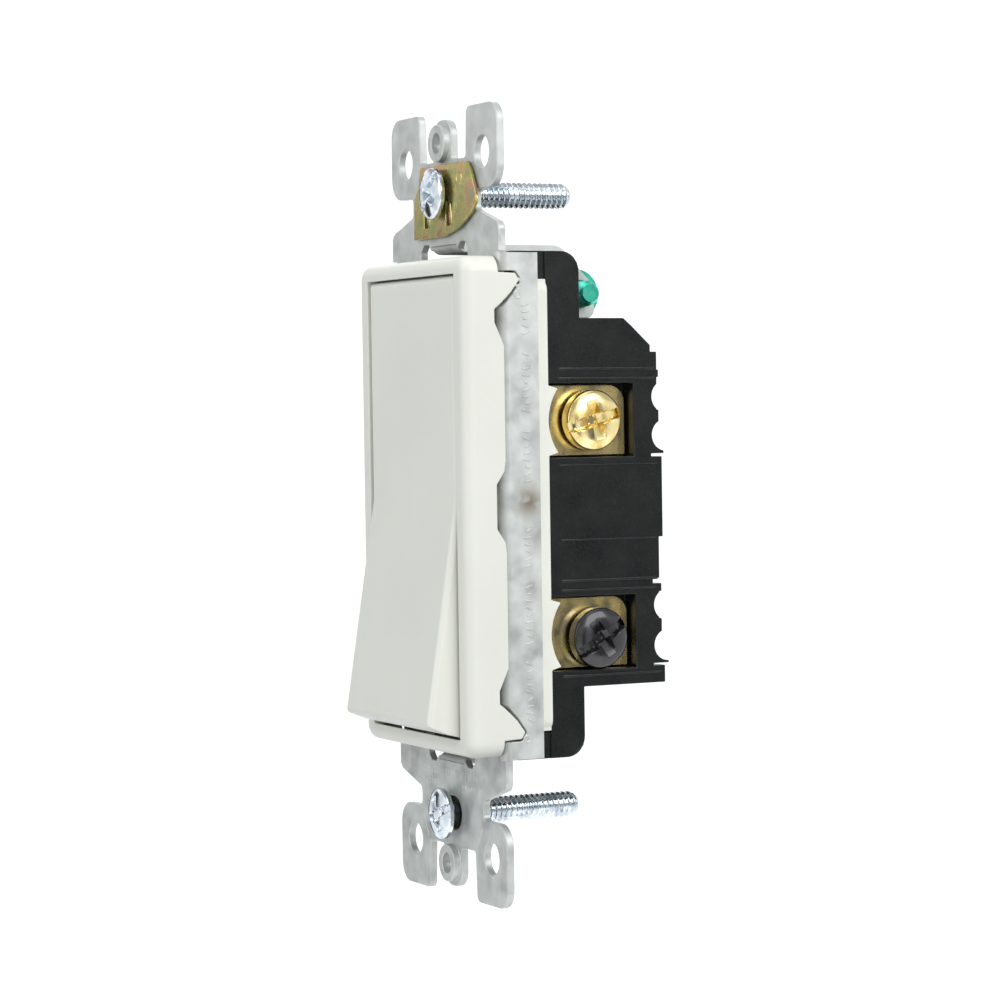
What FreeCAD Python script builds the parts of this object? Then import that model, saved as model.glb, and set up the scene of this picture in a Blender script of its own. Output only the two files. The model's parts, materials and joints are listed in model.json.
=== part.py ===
import FreeCAD, Part
import math
import os
import re
import Sketcher

# A three-way rocker wall switch on a wrap-around steel strap, in millimetres.
# +Z is up, +X is to the right seen from the front, +Y goes into the wall.
# The back face of the strap is at Y = 0. The origin is midway between the two box screws.

SIZES = {
    # driving sizes of the whole switch
    "box_screw_spacing": 83.34,     # national standard for device boxes
    "rocker_half_width": 13.4,
    # mounting strap
    "strap_sheet": 1.05,            # thickness of the steel
    "strap_rail": 1.85,             # edge of the window to the outside of the strap
    "neck_half_width": 9.6,
    "tab_half_width": 2.7,
    "tab_hole_radius": 1.4,
    "tab_collar_radius": 2.5,
    "tab_collar_height": 1.0,
    "ear_inner": 7.3,
    "ear_taper": 0.35,              # how much wider the relief slot is at its mouth
    "ear_crown_round": 1.0,
    "ear_top_round": 2.6,
    "ear_foot_round": 2.9,
    "neck_round": 0.8,
    "relief_round": 0.5,
    "shoulder_round": 1.2,
    "ear_hole_radius": 2.2,
    "ear_hole_in": 4.61,            # hole centre to the side of the strap
    "screw_slot_half_width": 2.9,
    "screw_slot_half_height": 2.3,
    "flange_back": 4.6,
    "bend_outside": 1.55,
    "bend_inside": 0.5,
    "tongue_half_width": 4.0,
    "slot_outer": 7.2,
    "slot_corner": 0.9,
    "wrap_back": 15.9,
    "wrap_corner": 2.5,
    "earth_tab_back": 19.6,
    # bezel
    "bezel_overhang": 0.28,         # beyond the strap on each side
    "bezel_seat_gap": 0.05,         # strap's edge to the skin outside it
    "bezel_front": 6.33,            # how far its face stands in front of the strap's back
    "bezel_rim": 1.73,
    "bezel_end_wall": 1.1,
    "bezel_corner": 2.2,
    "bezel_edge": 1.6,
    "skirt_gap": 0.2,               # skirt to strap, front to back
    "skirt_back": 0.5,              # skirt overlaps the folded edge down to this line
    "skirt_notch": 1.85,
    "hook_back": 1.8,
    "hook_length": 4.7,
    "lug_half_width": 2.6,
    "lug_sheet": 0.75,
    "lug_gap": 0.05,
    # rocker
    "rocker_side_gap": 0.3,
    "rocker_end_gap": 0.3,
    "rocker_recess": 0.13,          # pressed half below the bezel's face
    "rocker_wall": 1.5,
    "rocker_back": 3.0,             # rear edge in front of the hinge, along the rocker's own depth
    "rocker_edge": 0.9,
    "rocker_top_step": 1.75,        # top of the face below the end of the swing's arc
    "rocker_shoulder_step": 0.8,
    "rocker_shoulder_depth": 7.0,
    "rocker_foot_step": 0.15,
    "rib_half_sheet": 0.5,
    "rib_front": 8.2,
    "rib_place": 10,                # first rib; the second is twice as far out
    "hinge_depth": 1.5,
    "half_swing": 4.5,              # degrees each side of centre
    "pin_radius": 1.5,
    "pin_play": 0.05,
    "boss_wall": 1.37,
    "boss_length": 5.0,
    "plunger_radius": 1.95,
    "plunger_play": 0.08,
    "plunger_gap": 0.1,             # nose to the seesaw bar, in the middle of the swing
    "plunger_seat": 2.2,
    "spring_bore_front": 5.4,       # blind end of the bore in front of the hinge
    "spring_wire": 0.25,
    "spring_pitch": 1.1,
    # contacts
    "seesaw_half_angle": 5.0,
    "seesaw_pivot": 13.4,
    "seesaw_half_width": 2.2,
    "seesaw_half_length": 10.6,
    "seesaw_sheet": 0.8,
    "contact_place": 9.0,
    "contact_radius": 1.3,
    "contact_height": 0.7,
    "contact_gap": 0.04,
    # terminals and their screws
    "terminal_sheet": 1.0,
    "terminal_setback": 1.9,        # plate's face below the side of the body
    "terminal_front": 7.9,
    "strip_sheet": 0.8,
    "strip_front": 15.7,
    "common_strip_front": 16.7,
    "bay_half_height": 4.9,
    "upper_bay": 11.1,
    "lower_bay": -17.1,
    "bay_back": 19.5,
    "upper_screw_depth": 13.4,
    "lower_screw_depth": 14.0,
    "lower_screw": -17.8,
    "terminal_shank_radius": 2.08,
    "terminal_shank_length": 6.2,
    "terminal_head_radius": 4.0,
    "terminal_head_height": 2.5,
    "terminal_head_lift": 0.6,      # underside of the head to the plate
    "thread_play": 0.06,
    # body
    "body_play": 0.45,              # side of the body to the inside of the skirt's line
    "body_front": 6.5,
    "cap_gap": 0.8546,              # foot of the rocker, pressed in, to the end cap
    "tray_back": 11.6,
    "tray_boss_back": 13.7,
    "deep_top": 24.6,
    "deep_bottom": -24.2,
    "deep_back": 22.2,
    "fin_depth": 1.6,
    "hollow_radius": 2.1,
    "hollow_floor": 22.35,
    "bay_wall": 1.3,
    "chamber_back": 20.3,
    "body_end_wall": 1.7,
    "body_shoulder": 2.7,
    # inner frame
    "frame_lip": 0.45,
    "frame_front": 0.3,
    "frame_back": 6.4,
    "frame_wall": 1.3,
    "deck_front": 2.2,
    "deck_back": 3.6,
    "frame_side_gap": 0.15,
    "tooth_root_half_height": 4.8,
    "tooth_tip_half_height": 4.2,
    "tooth_length": 1.5,
    "scoop_radius": 7.1,
    # screws
    "box_screw_radius": 1.75,
    "box_head_radius": 3.45,
    "box_head_under": 2.3,
    "box_head_rim": 0.6,
    "box_head_dome": 0.75,
    "box_screw_tip": 17.6,
    "box_screw_neck_radius": 1.55,
    "slot_half_width": 0.45,
    "slot_depth": 0.9,
    "cross_half_width": 0.5,
    "cross_depth": 1.3,
    "cross_reach": 0.55,            # share of the head's radius
    "screw_point_length": 0.6,
    "screw_point_taper": 0.5,
    "washer_half_width": 4.0,
    "washer_sheet": 0.8,
    "washer_gap": 0.1,
    "earth_screw_depth": 17.5,
    "earth_head_radius": 3.4,
    "earth_head_height": 2.3,
    "earth_screw_tip": 7.0,
    # clamps for wires pushed in from the back
    "clamp_inner": 2.0,
    "clamp_screw_gap": 0.7,         # outside of the clamp to the end of the terminal screw
    "clamp_sheet": 0.4,
    "clamp_front": 11.0,
    "clamp_back": 18.4,
    "clamp_free_end": 18.0,
    "wire_hole_in": 1.4,            # hole's centre from the outside of the clamp
    "wire_hole_radius": 1.15,
    # grounding clip
    "clip_sheet": 0.45,
    "clip_front": 1.75,
    "clip_hole_radius": 2.5,
}

# Sizes that fit, seat on or line up with another piece, worked out from the sheet.
FITS = {
    "screw_height": "box_screw_spacing / 2",
    "plate_screw_height": "screw_height + 6.75",
    "ear_hole_height": "screw_height + 4.81",
    "ear_hole_place": "strap_half_width - ear_hole_in",
    "strap_half_height": "screw_height + 11.13",
    "tab_top": "screw_height + 9.93",
    "neck_top": "screw_height + 4.43",
    "ear_bottom": "screw_height + 0.03",
    "neck_bottom": "screw_height - 2.57",
    "shoulder_top": "screw_height - 4.67",
    "wrap_top": "screw_height - 6.92",
    "slot_top": "wrap_top + 0.35",
    "shoulder_bottom": "screw_height - 8.37",
    "flange_half_height": "shoulder_bottom - 0.2",
    "window_half_height": "screw_height - 10.27",
    "opening_half_width": "rocker_half_width + rocker_side_gap",
    "lug_outer": "opening_half_width + lug_gap + lug_sheet",
    "pin_reach": "lug_outer - 0.1",
    "window_half_width": "lug_outer + 0.1",
    "strap_half_width": "window_half_width + strap_rail",
    "flange_outer": "strap_half_width",
    "flange_inner": "flange_outer - strap_sheet",
    "bezel_half_width": "strap_half_width + bezel_overhang",
    "bezel_half_height": "window_half_height + bezel_end_wall + 0.2",
    "rocker_end_radius": "window_half_height - 0.35",
    "hook_high": "window_half_height - 1",
    "hook_low": "hook_high - hook_length",
    "rocker_foot_in": "rocker_end_radius * sin(half_swing * 1 deg)",
    "cap_front": "hinge_depth - rocker_back * cos(half_swing * 1 deg) + rocker_foot_in + cap_gap",
    "boss_radius": "plunger_radius + plunger_play + boss_wall",
    "plunger_tip": "seesaw_pivot - 0.1 - seesaw_sheet - plunger_gap - hinge_depth",
    "frame_nose_half_width": "flange_inner - frame_side_gap",
    "frame_half_width": "frame_nose_half_width + frame_lip",
    "frame_half_height": "window_half_height - 1.7",
    "body_half_width": "frame_nose_half_width - body_play",
    "body_half_height": "wrap_top - strap_sheet - 0.3",
    "fin_inner": "body_half_width - fin_depth",
    "terminal_outer": "body_half_width - terminal_setback",
    "terminal_inner": "terminal_outer - terminal_sheet",
    "chamber_half_width": "terminal_inner - bay_wall",
    "chamber_top": "deep_top - body_end_wall",
    "chamber_bottom": "deep_bottom + body_end_wall",
    "terminal_head_back": "terminal_outer + terminal_head_lift",
    "terminal_head_front": "terminal_head_back + terminal_head_height",
    "terminal_tip": "terminal_head_back - terminal_shank_length",
    "clamp_outer": "terminal_tip - clamp_screw_gap",
    "wire_hole_place": "clamp_outer - wire_hole_in",
    "earth_screw_height": "deep_top + earth_head_radius + 0.2",
    "earth_tab_low": "deep_top + 0.3",
    "wrap_tail_upper": "earth_screw_height + earth_head_radius + 0.3",
    "wrap_tail_lower": "0.8 - deep_bottom",
    "box_screw_thread_start": "washer_gap + washer_sheet + 0.3",
    "contact_tilt_reach": "(contact_place + contact_radius) * sin(seesaw_half_angle * 1 deg)",
    "contact_tilt_back": "(contact_height - 0.1) * cos(seesaw_half_angle * 1 deg)",
    "fixed_contact_front": "seesaw_pivot + contact_tilt_back + contact_tilt_reach + contact_gap",
    "contact_swing_shift": "contact_place * (1 - cos(seesaw_half_angle * 1 deg))",
}

doc = FreeCAD.newDocument("rocker_switch")
sheet = doc.addObject("Spreadsheet::Sheet", "Sizes")
for row, (size_name, size_value) in enumerate(SIZES.items(), start=1):
    sheet.set(f"A{row}", size_name)
    sheet.set(f"B{row}", str(size_value))
    sheet.setAlias(f"B{row}", size_name)
doc.recompute()

PLANE_AXES = {"XY_Plane": "XY", "XZ_Plane": "XZ", "YZ_Plane": "YZ"}
SAME_PLACE = 1e-4


def formula(words):
    """Turn the sheet's own words into an expression that another object can be bound to."""
    def qualify(match):
        word = match.group()
        if word in FITS:
            return f"({formula(FITS[word])})"
        return f"Sizes.{word}" if word in SIZES else word
    return re.sub(r"[a-z_]+", qualify, str(words))


def value(words):
    """Number that a formula gives now."""
    return float(sheet.evalExpression(formula(words)))


def bind(thing, prop, words):
    thing.setExpression(prop, formula(words))


def minus(words):
    return f"-({words})"


# ---- building blocks ---------------------------------------------------------------------

def outline_sketch(body, name, plane, points, start):
    """Closed sketch whose every corner is held by two distances bound to the sheet."""
    sketch = body.newObject("Sketcher::SketchObject", name)
    support = [f for f in body.Origin.OriginFeatures if f.Role == plane][0]
    sketch.AttachmentSupport = [(support, "")]
    sketch.MapMode = "FlatFace"
    bind(sketch, "AttachmentOffset.Base.z", minus(start) if plane == "XZ_Plane" else start)
    places = [(value(u), value(v)) for u, v in points]
    count = len(points)
    for i in range(count):
        here = FreeCAD.Vector(*places[i], 0)
        there = FreeCAD.Vector(*places[(i + 1) % count], 0)
        sketch.addGeometry(Part.LineSegment(here, there), False)
    for i in range(count):
        sketch.addConstraint(Sketcher.Constraint("Coincident", i, 2, (i + 1) % count, 1))
    for i in range(count):
        for kind, side in (("DistanceX", 0), ("DistanceY", 1)):
            held = sketch.addConstraint(Sketcher.Constraint(kind, i, 1, places[i][side]))
            bind(sketch, f"Constraints[{held}]", points[i][side])
    return sketch


def prism(name, plane, points, start, end):
    """PartDesign body: an outline in a plane, padded from start to end along its third axis."""
    body = doc.addObject("PartDesign::Body", name)
    sketch = outline_sketch(body, f"{name}_outline", plane, points, start)
    pad = body.newObject("PartDesign::Pad", f"{name}_pad")
    pad.Profile = sketch
    pad.Reversed = plane == "XZ_Plane"
    bind(pad, "Length", f"{end} - ({start})")
    doc.recompute()
    return body


def edges_where(shape, chosen):
    return [f"Edge{i + 1}" for i, edge in enumerate(shape.Edges) if chosen(edge)]


def along(edge, axis):
    """True for a straight edge that runs along X, Y or Z."""
    if len(edge.Vertexes) != 2:
        return False
    first, last = edge.Vertexes[0].Point, edge.Vertexes[1].Point
    run = last - first
    others = [getattr(run, other.lower()) for other in "XYZ" if other != axis]
    return run.Length > SAME_PLACE and all(abs(size) < SAME_PLACE for size in others)


def round_edges(body, name, chosen, radius):
    """Fillet the chosen edges of a PartDesign body's newest feature."""
    newest = body.Tip
    fillet = body.newObject("PartDesign::Fillet", name)
    fillet.Base = (newest, edges_where(newest.Shape, chosen))
    bind(fillet, "Radius", radius)
    body.Tip = fillet
    doc.recompute()
    return body


def round_corners(body, plane, corners, radius):
    """Round the pad's own edges that stand on the given outline corners."""
    u_axis, v_axis = PLANE_AXES[plane].lower()
    axis = next(letter for letter in "XYZ" if letter not in PLANE_AXES[plane])
    places = [(value(u), value(v)) for u, v in corners]

    def on_a_corner(edge):
        middle = edge.CenterOfMass
        here = getattr(middle, u_axis), getattr(middle, v_axis)
        return along(edge, axis) and any(math.dist(here, place) < 0.01 for place in places)

    return round_edges(body, f"{body.Name}_round", on_a_corner, radius)


def round_face_rim(body, axis, place, radius):
    """Round every edge that lies in one plane across an axis."""
    level = value(place)

    def in_plane(edge):
        box = edge.BoundBox
        low, high = getattr(box, f"{axis}Min"), getattr(box, f"{axis}Max")
        return abs(low - level) < SAME_PLACE and abs(high - level) < SAME_PLACE

    return round_edges(body, f"{body.Name}_rim", in_plane, radius)


def box(name, x_span, y_span, z_span):
    """Part::Box from three (low, high) spans."""
    made = doc.addObject("Part::Box", name)
    for prop, axis, (low, high) in zip(("Length", "Width", "Height"), "xyz",
                                       (x_span, y_span, z_span)):
        bind(made, prop, f"{high} - ({low})")
        bind(made, f"Placement.Base.{axis}", low)
    return made


def rod(name, axis, radius, start, end, centre):
    """Part::Cylinder along X, Y or Z; centre is its place on the two other axes, in order."""
    made = doc.addObject("Part::Cylinder", name)
    turned = {"X": ((0, 1, 0), 90), "Y": ((1, 0, 0), -90), "Z": ((0, 0, 1), 0)}[axis]
    made.Placement.Rotation = FreeCAD.Rotation(FreeCAD.Vector(*turned[0]), turned[1])
    bind(made, "Radius", radius)
    bind(made, "Height", f"{end} - ({start})")
    bind(made, f"Placement.Base.{axis.lower()}", start)
    for other, place in zip([letter for letter in "xyz" if letter != axis.lower()], centre):
        bind(made, f"Placement.Base.{other}", place)
    return made


def fuse(name, pieces):
    made = doc.addObject("Part::MultiFuse", name)
    made.Shapes = pieces
    made.Refine = True
    return made


def cut(name, base, tools):
    made = doc.addObject("Part::Cut", name)
    made.Base = base
    made.Tool = tools[0] if len(tools) == 1 else fuse(f"{name}_tools", tools)
    made.Refine = True
    return made


def mirror(name, source, axis):
    """Copy on the other side of the plane through the origin across an axis."""
    made = doc.addObject("Part::Mirroring", name)
    made.Source = source
    made.Normal = tuple(float(letter == axis) for letter in "XYZ")
    return made


def both_sides(name, source, axis):
    return fuse(name, [source, mirror(f"{name}_mirror", source, axis)])


def tilt(thing, depth, degrees):
    """Turn a finished piece about the X axis through the given depth."""
    thing.Placement.Rotation = FreeCAD.Rotation(FreeCAD.Vector(1, 0, 0), value(degrees))
    bind(thing, "Placement.Rotation.Angle", f"({degrees}) * 1 deg")
    bind(thing, "Placement.Base.y", depth)


SUB_PARTS = []


def sub_part(thing, label):
    """Name a finished piece; the label becomes the node's name."""
    thing.Label = label
    SUB_PARTS.append(thing)
    return thing


def mirrored_outline(half):
    """Close a right-hand outline with its left-hand reflection, X to minus X."""
    return half + [(minus(u), v) for u, v in reversed(half)]


# ---- mounting strap ----------------------------------------------------------------------

def strap_end_plate():
    """Flat upper end of the strap: neck, two ears, centre tab and the relief slots."""
    right = [
        ("tab_half_width", "tab_top"),
        ("tab_half_width", "neck_top"),
        ("ear_inner - ear_taper", "neck_top"),
        ("ear_inner", "strap_half_height"),
        ("strap_half_width", "strap_half_height"),
        ("strap_half_width", "ear_bottom"),
        ("neck_half_width", "ear_bottom"),
        ("neck_half_width", "neck_bottom"),
        ("strap_half_width", "shoulder_top"),
        ("strap_half_width", "shoulder_bottom"),
        ("window_half_width", "shoulder_bottom"),
        ("window_half_width", "window_half_height"),
        ("slot_outer", "window_half_height"),
        ("slot_outer", "slot_top - slot_corner"),
        ("slot_outer - slot_corner", "slot_top"),
        ("tongue_half_width + slot_corner", "slot_top"),
        ("tongue_half_width", "slot_top - slot_corner"),
        ("tongue_half_width", "wrap_top"),
    ]
    plate = prism("end_plate", "XZ_Plane", mirrored_outline(right), "-strap_sheet", "0")
    rounds = ((0, "tab_half_width * 0.85"), (1, "relief_round"), (2, "relief_round"),
              (3, "ear_crown_round"), (4, "ear_top_round"), (5, "ear_foot_round"),
              (6, "neck_round"), (7, "neck_round"), (8, "shoulder_round"))
    for number, radius in rounds:
        across, height = right[number]
        round_corners(plate, "XZ_Plane", [(across, height), (minus(across), height)], radius)
    return plate


def strap_wrap(name, tail):
    """Tongue that folds back over the end of the body and down behind it."""
    sheet_in = "wrap_top - strap_sheet"
    profile = [
        ("-strap_sheet", "wrap_top + 0.5"),
        ("-strap_sheet", sheet_in),
        ("wrap_back - strap_sheet", sheet_in),
        ("wrap_back - strap_sheet", tail),
        ("wrap_back", tail),
        ("wrap_back", "wrap_top"),
        ("0", "wrap_top"),
        ("0", "wrap_top + 0.5"),
    ]
    wrap = prism(name, "YZ_Plane", profile, "-tongue_half_width", "tongue_half_width")
    round_corners(wrap, "YZ_Plane", [profile[5]], "wrap_corner")
    round_corners(wrap, "YZ_Plane", [profile[2]], "wrap_corner - strap_sheet")
    round_corners(wrap, "YZ_Plane", [profile[1]], "bend_outside - 0.1")
    return wrap


def strap_rail():
    """Right-hand edge of the window, folded back into the side flange."""
    profile = [
        ("window_half_width", "-strap_sheet"),
        ("flange_outer", "-strap_sheet"),
        ("flange_outer", "flange_back"),
        ("flange_inner", "flange_back"),
        ("flange_inner", "0"),
        ("window_half_width", "0"),
    ]
    rail = prism("rail", "XY_Plane", profile, "-shoulder_bottom", "shoulder_bottom")
    round_corners(rail, "XY_Plane", [profile[1]], "bend_outside")
    round_corners(rail, "XY_Plane", [profile[4]], "bend_inside")
    ends = [box("rail_end", ("strap_half_width - 2", "strap_half_width + 1"),
                ("0.02", "flange_back + 1"), ("flange_half_height", "shoulder_bottom + 1"))]
    ends.append(mirror("rail_end_low", ends[0], "Z"))
    notch = prism("hook_notch", "YZ_Plane", [
        ("-strap_sheet - 1", "hook_low - 0.5"),
        ("-skirt_back", "hook_low + 0.4"),
        ("hook_back - 0.95", "hook_low + 1.9"),
        ("hook_back + 0.25", "hook_high - 1.1"),
        ("hook_back + 0.25", "hook_high - 0.7"),
        ("hook_back - 0.4", "hook_high + 0.3"),
        ("-strap_sheet - 1", "hook_high + 0.3"),
    ], "frame_nose_half_width - 0.15", "strap_half_width + 1")
    return cut("rail_trimmed", rail, ends + [notch, mirror("hook_notch_low", notch, "Z")])


def earth_tab():
    """Ear that turns back from the upper wrap and carries the green screw."""
    profile = [
        ("wrap_back - strap_sheet", "wrap_tail_upper + 0.6"),
        ("wrap_back - strap_sheet", "earth_tab_low"),
        ("earth_tab_back", "earth_tab_low"),
        ("earth_tab_back", "earth_screw_height + 1.2"),
        ("wrap_back + 0.6", "wrap_tail_upper + 0.6"),
    ]
    tab = prism("earth_tab", "YZ_Plane", profile, "tongue_half_width - strap_sheet",
                "tongue_half_width")
    return round_corners(tab, "YZ_Plane", [profile[2], profile[3]], "1.2")


def mounting_strap():
    plate = strap_end_plate()
    collar = rod("tab_collar", "Y", "tab_collar_radius", "-strap_sheet - tab_collar_height",
                 "-strap_sheet + 0.1", ("0", "plate_screw_height"))
    end = fuse("strap_end", [plate, collar])
    right_slot = box("screw_slot",
                     ("-screw_slot_half_width + screw_slot_half_height",
                      "screw_slot_half_width - screw_slot_half_height"),
                     ("-5", "5"),
                     ("screw_height - screw_slot_half_height",
                      "screw_height + screw_slot_half_height"))
    slot_ends = [
        rod(f"screw_slot_{side}", "Y", "screw_slot_half_height", "-5", "5",
            (f"{sign}(screw_slot_half_width - screw_slot_half_height)", "screw_height"))
        for side, sign in (("right", ""), ("left", "-"))
    ]
    ear_holes = [
        rod(f"ear_hole_{side}", "Y", "ear_hole_radius", "-5", "5",
            (f"{sign}ear_hole_place", "ear_hole_height"))
        for side, sign in (("right", ""), ("left", "-"))
    ]
    tab_hole = rod("tab_hole", "Y", "tab_hole_radius", "-5", "5",
                   ("0", "plate_screw_height"))
    drilled = cut("strap_end_drilled", end, [right_slot, *slot_ends, *ear_holes, tab_hole])
    upper_wrap = strap_wrap("upper_wrap", "wrap_tail_upper")
    lower_wrap = mirror("lower_wrap", strap_wrap("lower_wrap_upside_down", "wrap_tail_lower"),
                        "Z")
    solid = fuse("strap_blank", [
        both_sides("strap_ends", drilled, "Z"),
        both_sides("strap_rails", strap_rail(), "X"),
        upper_wrap, lower_wrap, earth_tab(),
    ])
    earth_hole = rod("earth_hole", "X", "box_screw_radius + thread_play", "0", "10",
                     ("earth_screw_depth", "earth_screw_height"))
    return sub_part(cut("Strap", solid, [earth_hole]), "mounting_strap")


# ---- bezel and rocker --------------------------------------------------------------------

def bezel_frame():
    """Frame around the rocker: rounded shell, scalloped skirt, snap hooks and hinge lugs."""
    corners = [("bezel_half_width", "bezel_half_height"),
               ("bezel_half_width", "-bezel_half_height"),
               ("-bezel_half_width", "-bezel_half_height"),
               ("-bezel_half_width", "bezel_half_height")]
    shell = prism("bezel_block", "XZ_Plane", corners, "-bezel_front", "hook_back")
    round_corners(shell, "XZ_Plane", corners, "bezel_corner")
    round_face_rim(shell, "Y", "-bezel_front", "bezel_edge")
    inner_x = "frame_nose_half_width"
    inner_z = "bezel_half_height - bezel_end_wall"
    hollow = box("bezel_hollow", (minus(inner_x), inner_x), ("bezel_rim - bezel_front", "9"),
                 (minus(inner_z), inner_z))
    opening = rod("bezel_opening", "X", "rocker_end_radius + rocker_end_gap",
                  "-opening_half_width", "opening_half_width", ("hinge_depth", "0"))
    half_skirt = [
        ("-skirt_notch", "2.9"),
        ("-skirt_back - 0.2", "4.6"),
        ("-skirt_back", "6"),
        ("-skirt_back", "hook_low - 4.7"),
        ("-skirt_notch", "hook_low - 1.7"),
        ("-skirt_notch", "hook_low"),
        ("-skirt_back - 0.35", "hook_low + 0.8"),
        ("hook_back - 1.2", "hook_low + 2.2"),
        ("hook_back", "hook_high - 0.9"),
        ("hook_back - 0.55", "hook_high"),
        ("-strap_sheet - skirt_gap", "hook_high + 0.1"),
        ("-strap_sheet - skirt_gap", "bezel_half_height + 1"),
    ]
    behind = half_skirt + [("9", "bezel_half_height + 1"), ("9", "-bezel_half_height - 1")]
    behind += [(depth, minus(height)) for depth, height in reversed(half_skirt)]
    trim = prism("skirt_trim", "YZ_Plane", behind, "-bezel_half_width - 1",
                 "bezel_half_width + 1")
    seat_x, seat_y = "strap_half_width + bezel_seat_gap", "-strap_sheet - bezel_seat_gap"
    strap_room = [(minus(seat_x), seat_y), (seat_x, seat_y), (seat_x, "9"),
                  (minus(seat_x), "9")]
    seat = prism("strap_seat", "XY_Plane", strap_room, "-hook_low + 0.6", "hook_low - 0.6")
    round_corners(seat, "XY_Plane", strap_room[:2], "bend_outside")
    trimmed = cut("bezel_shell", shell, [hollow, opening, trim, seat])
    lug = fuse("lug", [
        box("lug_leg", ("lug_outer - lug_sheet", "lug_outer"),
            ("bezel_rim - bezel_front - 0.1", "hinge_depth"),
            ("-lug_half_width", "lug_half_width")),
        rod("lug_end", "X", "lug_half_width", "lug_outer - lug_sheet", "lug_outer",
            ("hinge_depth", "0")),
    ])
    bore = rod("lug_bore", "X", "pin_radius + pin_play", minus(inner_x), inner_x,
               ("hinge_depth", "0"))
    whole = fuse("bezel_with_lugs", [trimmed, both_sides("lugs", lug, "X")])
    return sub_part(cut("Bezel", whole, [bore]), "bezel_frame")


def rocker_profile(inset):
    """Half of the rocker's own outline, front face in two planes that meet at the centre.

    Own frame: depth from the hinge and height, with the centre of the swing level.
    """
    centre = "-(hinge_depth + bezel_front - rocker_recess) / cos(half_swing * 1 deg)"
    front = f"{centre} + {inset} - ({{0}}) * tan(half_swing * 1 deg)"
    tall = f"rocker_end_radius - rocker_top_step - {inset}"
    return [
        (f"{centre} + {inset}", "0"),
        (front.format(tall), tall),
        ("-rocker_shoulder_depth", f"rocker_end_radius - rocker_shoulder_step - {inset}"),
        ("-rocker_back", f"rocker_end_radius - rocker_foot_step - {inset}"),
    ]


def full_profile(half, back):
    """Outline of the whole rocker from its upper half, closed at a rear line."""
    lower = [(depth, minus(height)) for depth, height in reversed(half[1:])]
    return half + [(back, half[-1][1]), (back, minus(half[-1][1]))] + lower


def rocker():
    """Paddle: two flat faces with a shallow valley, hollow behind, ribbed, with hinge pins."""
    outside = rocker_profile("0")
    skin_back = "-rocker_back + 0.4"
    paddle = prism("paddle", "YZ_Plane", full_profile(outside, skin_back),
                   "-rocker_half_width", "rocker_half_width")
    side_face = value("rocker_half_width")

    def front_rim(edge):
        middle = edge.CenterOfMass
        on_side = abs(abs(middle.x) - side_face) < SAME_PLACE
        across = along(edge, "X") and middle.y < -9
        return (on_side and middle.y < -7.7 and edge.Length > 20) or across

    round_edges(paddle, "paddle_soft_edges", front_rim, "rocker_edge")
    inside = prism("paddle_hollow", "YZ_Plane", full_profile(rocker_profile("rocker_wall"), "9"),
                   "-rocker_half_width + rocker_wall", "rocker_half_width - rocker_wall")
    shell = cut("paddle_shell", paddle, [inside])
    inner_x = "rocker_half_width - rocker_wall + 0.1"
    ribs = []
    for number, place in enumerate(("rib_place", "2 * rib_place")):
        rib = box(f"rib_{number}", (minus(inner_x), inner_x), ("-rib_front", "-rocker_back - 1"),
                  (f"{place} - rib_half_sheet", f"{place} + rib_half_sheet"))
        ribs.append(both_sides(f"ribs_{number}", rib, "Z"))
    boss = rod("spring_boss", "Y", "boss_radius", "-6.8", "boss_length", ("0", "0"))
    bore = rod("spring_bore", "Y", "plunger_radius + plunger_play", "-spring_bore_front",
               "boss_length + 1", ("0", "0"))
    ear = rod("hinge_ear", "X", "lug_half_width", inner_x, "rocker_half_width", ("0", "0"))
    ear_leg = box("hinge_ear_leg", (inner_x, "rocker_half_width"), ("-rocker_back - 1", "0"),
                  ("-lug_half_width", "lug_half_width"))
    pin = rod("hinge_pin", "X", "pin_radius", inner_x, "pin_reach", ("0", "0"))
    hinge_side = both_sides("hinge_sides", fuse("hinge_side", [ear, ear_leg, pin]), "X")
    solid = fuse("rocker_blank", [shell, *ribs, boss, hinge_side])
    whole = sub_part(cut("Rocker", solid, [bore]), "rocker")
    tilt(whole, "hinge_depth", "-half_swing")
    return whole


def rocker_plunger():
    """Nylon follower: a round rod with a ball nose, seated on the spring."""
    nose = doc.addObject("Part::Sphere", "plunger_nose")
    bind(nose, "Radius", "plunger_radius")
    bind(nose, "Placement.Base.y", "plunger_tip - plunger_radius")
    stem = rod("plunger_stem", "Y", "plunger_radius", "plunger_seat",
               "plunger_tip - plunger_radius", ("0", "0"))
    whole = sub_part(fuse("Plunger", [stem, nose]), "rocker_plunger")
    tilt(whole, "hinge_depth", "-half_swing")
    return whole


def rocker_spring():
    """Compression spring: a round wire swept along a helix, behind the plunger."""
    coil_radius = value("plunger_radius - spring_wire - 0.1")
    wire = value("spring_wire")
    low = wire + 0.05 - value("spring_bore_front")
    high = value("plunger_seat") - wire - 0.05
    path = Part.makeHelix(value("spring_pitch"), high - low, coil_radius)
    section = Part.Wire(Part.makeCircle(wire, FreeCAD.Vector(coil_radius, 0, 0),
                                        FreeCAD.Vector(0, 1, 0)))
    coil = Part.Wire(path).makePipeShell([section], True, True)
    lay_down = FreeCAD.Placement(FreeCAD.Vector(0, low, 0),
                                 FreeCAD.Rotation(FreeCAD.Vector(1, 0, 0), -90))
    feature = doc.addObject("Part::Feature", "Spring")
    feature.Shape = coil.transformed(lay_down.toMatrix(), True)
    whole = sub_part(feature, "rocker_spring")
    tilt(whole, "hinge_depth", "-half_swing")
    return whole


# ---- contacts and terminals --------------------------------------------------------------

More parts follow.
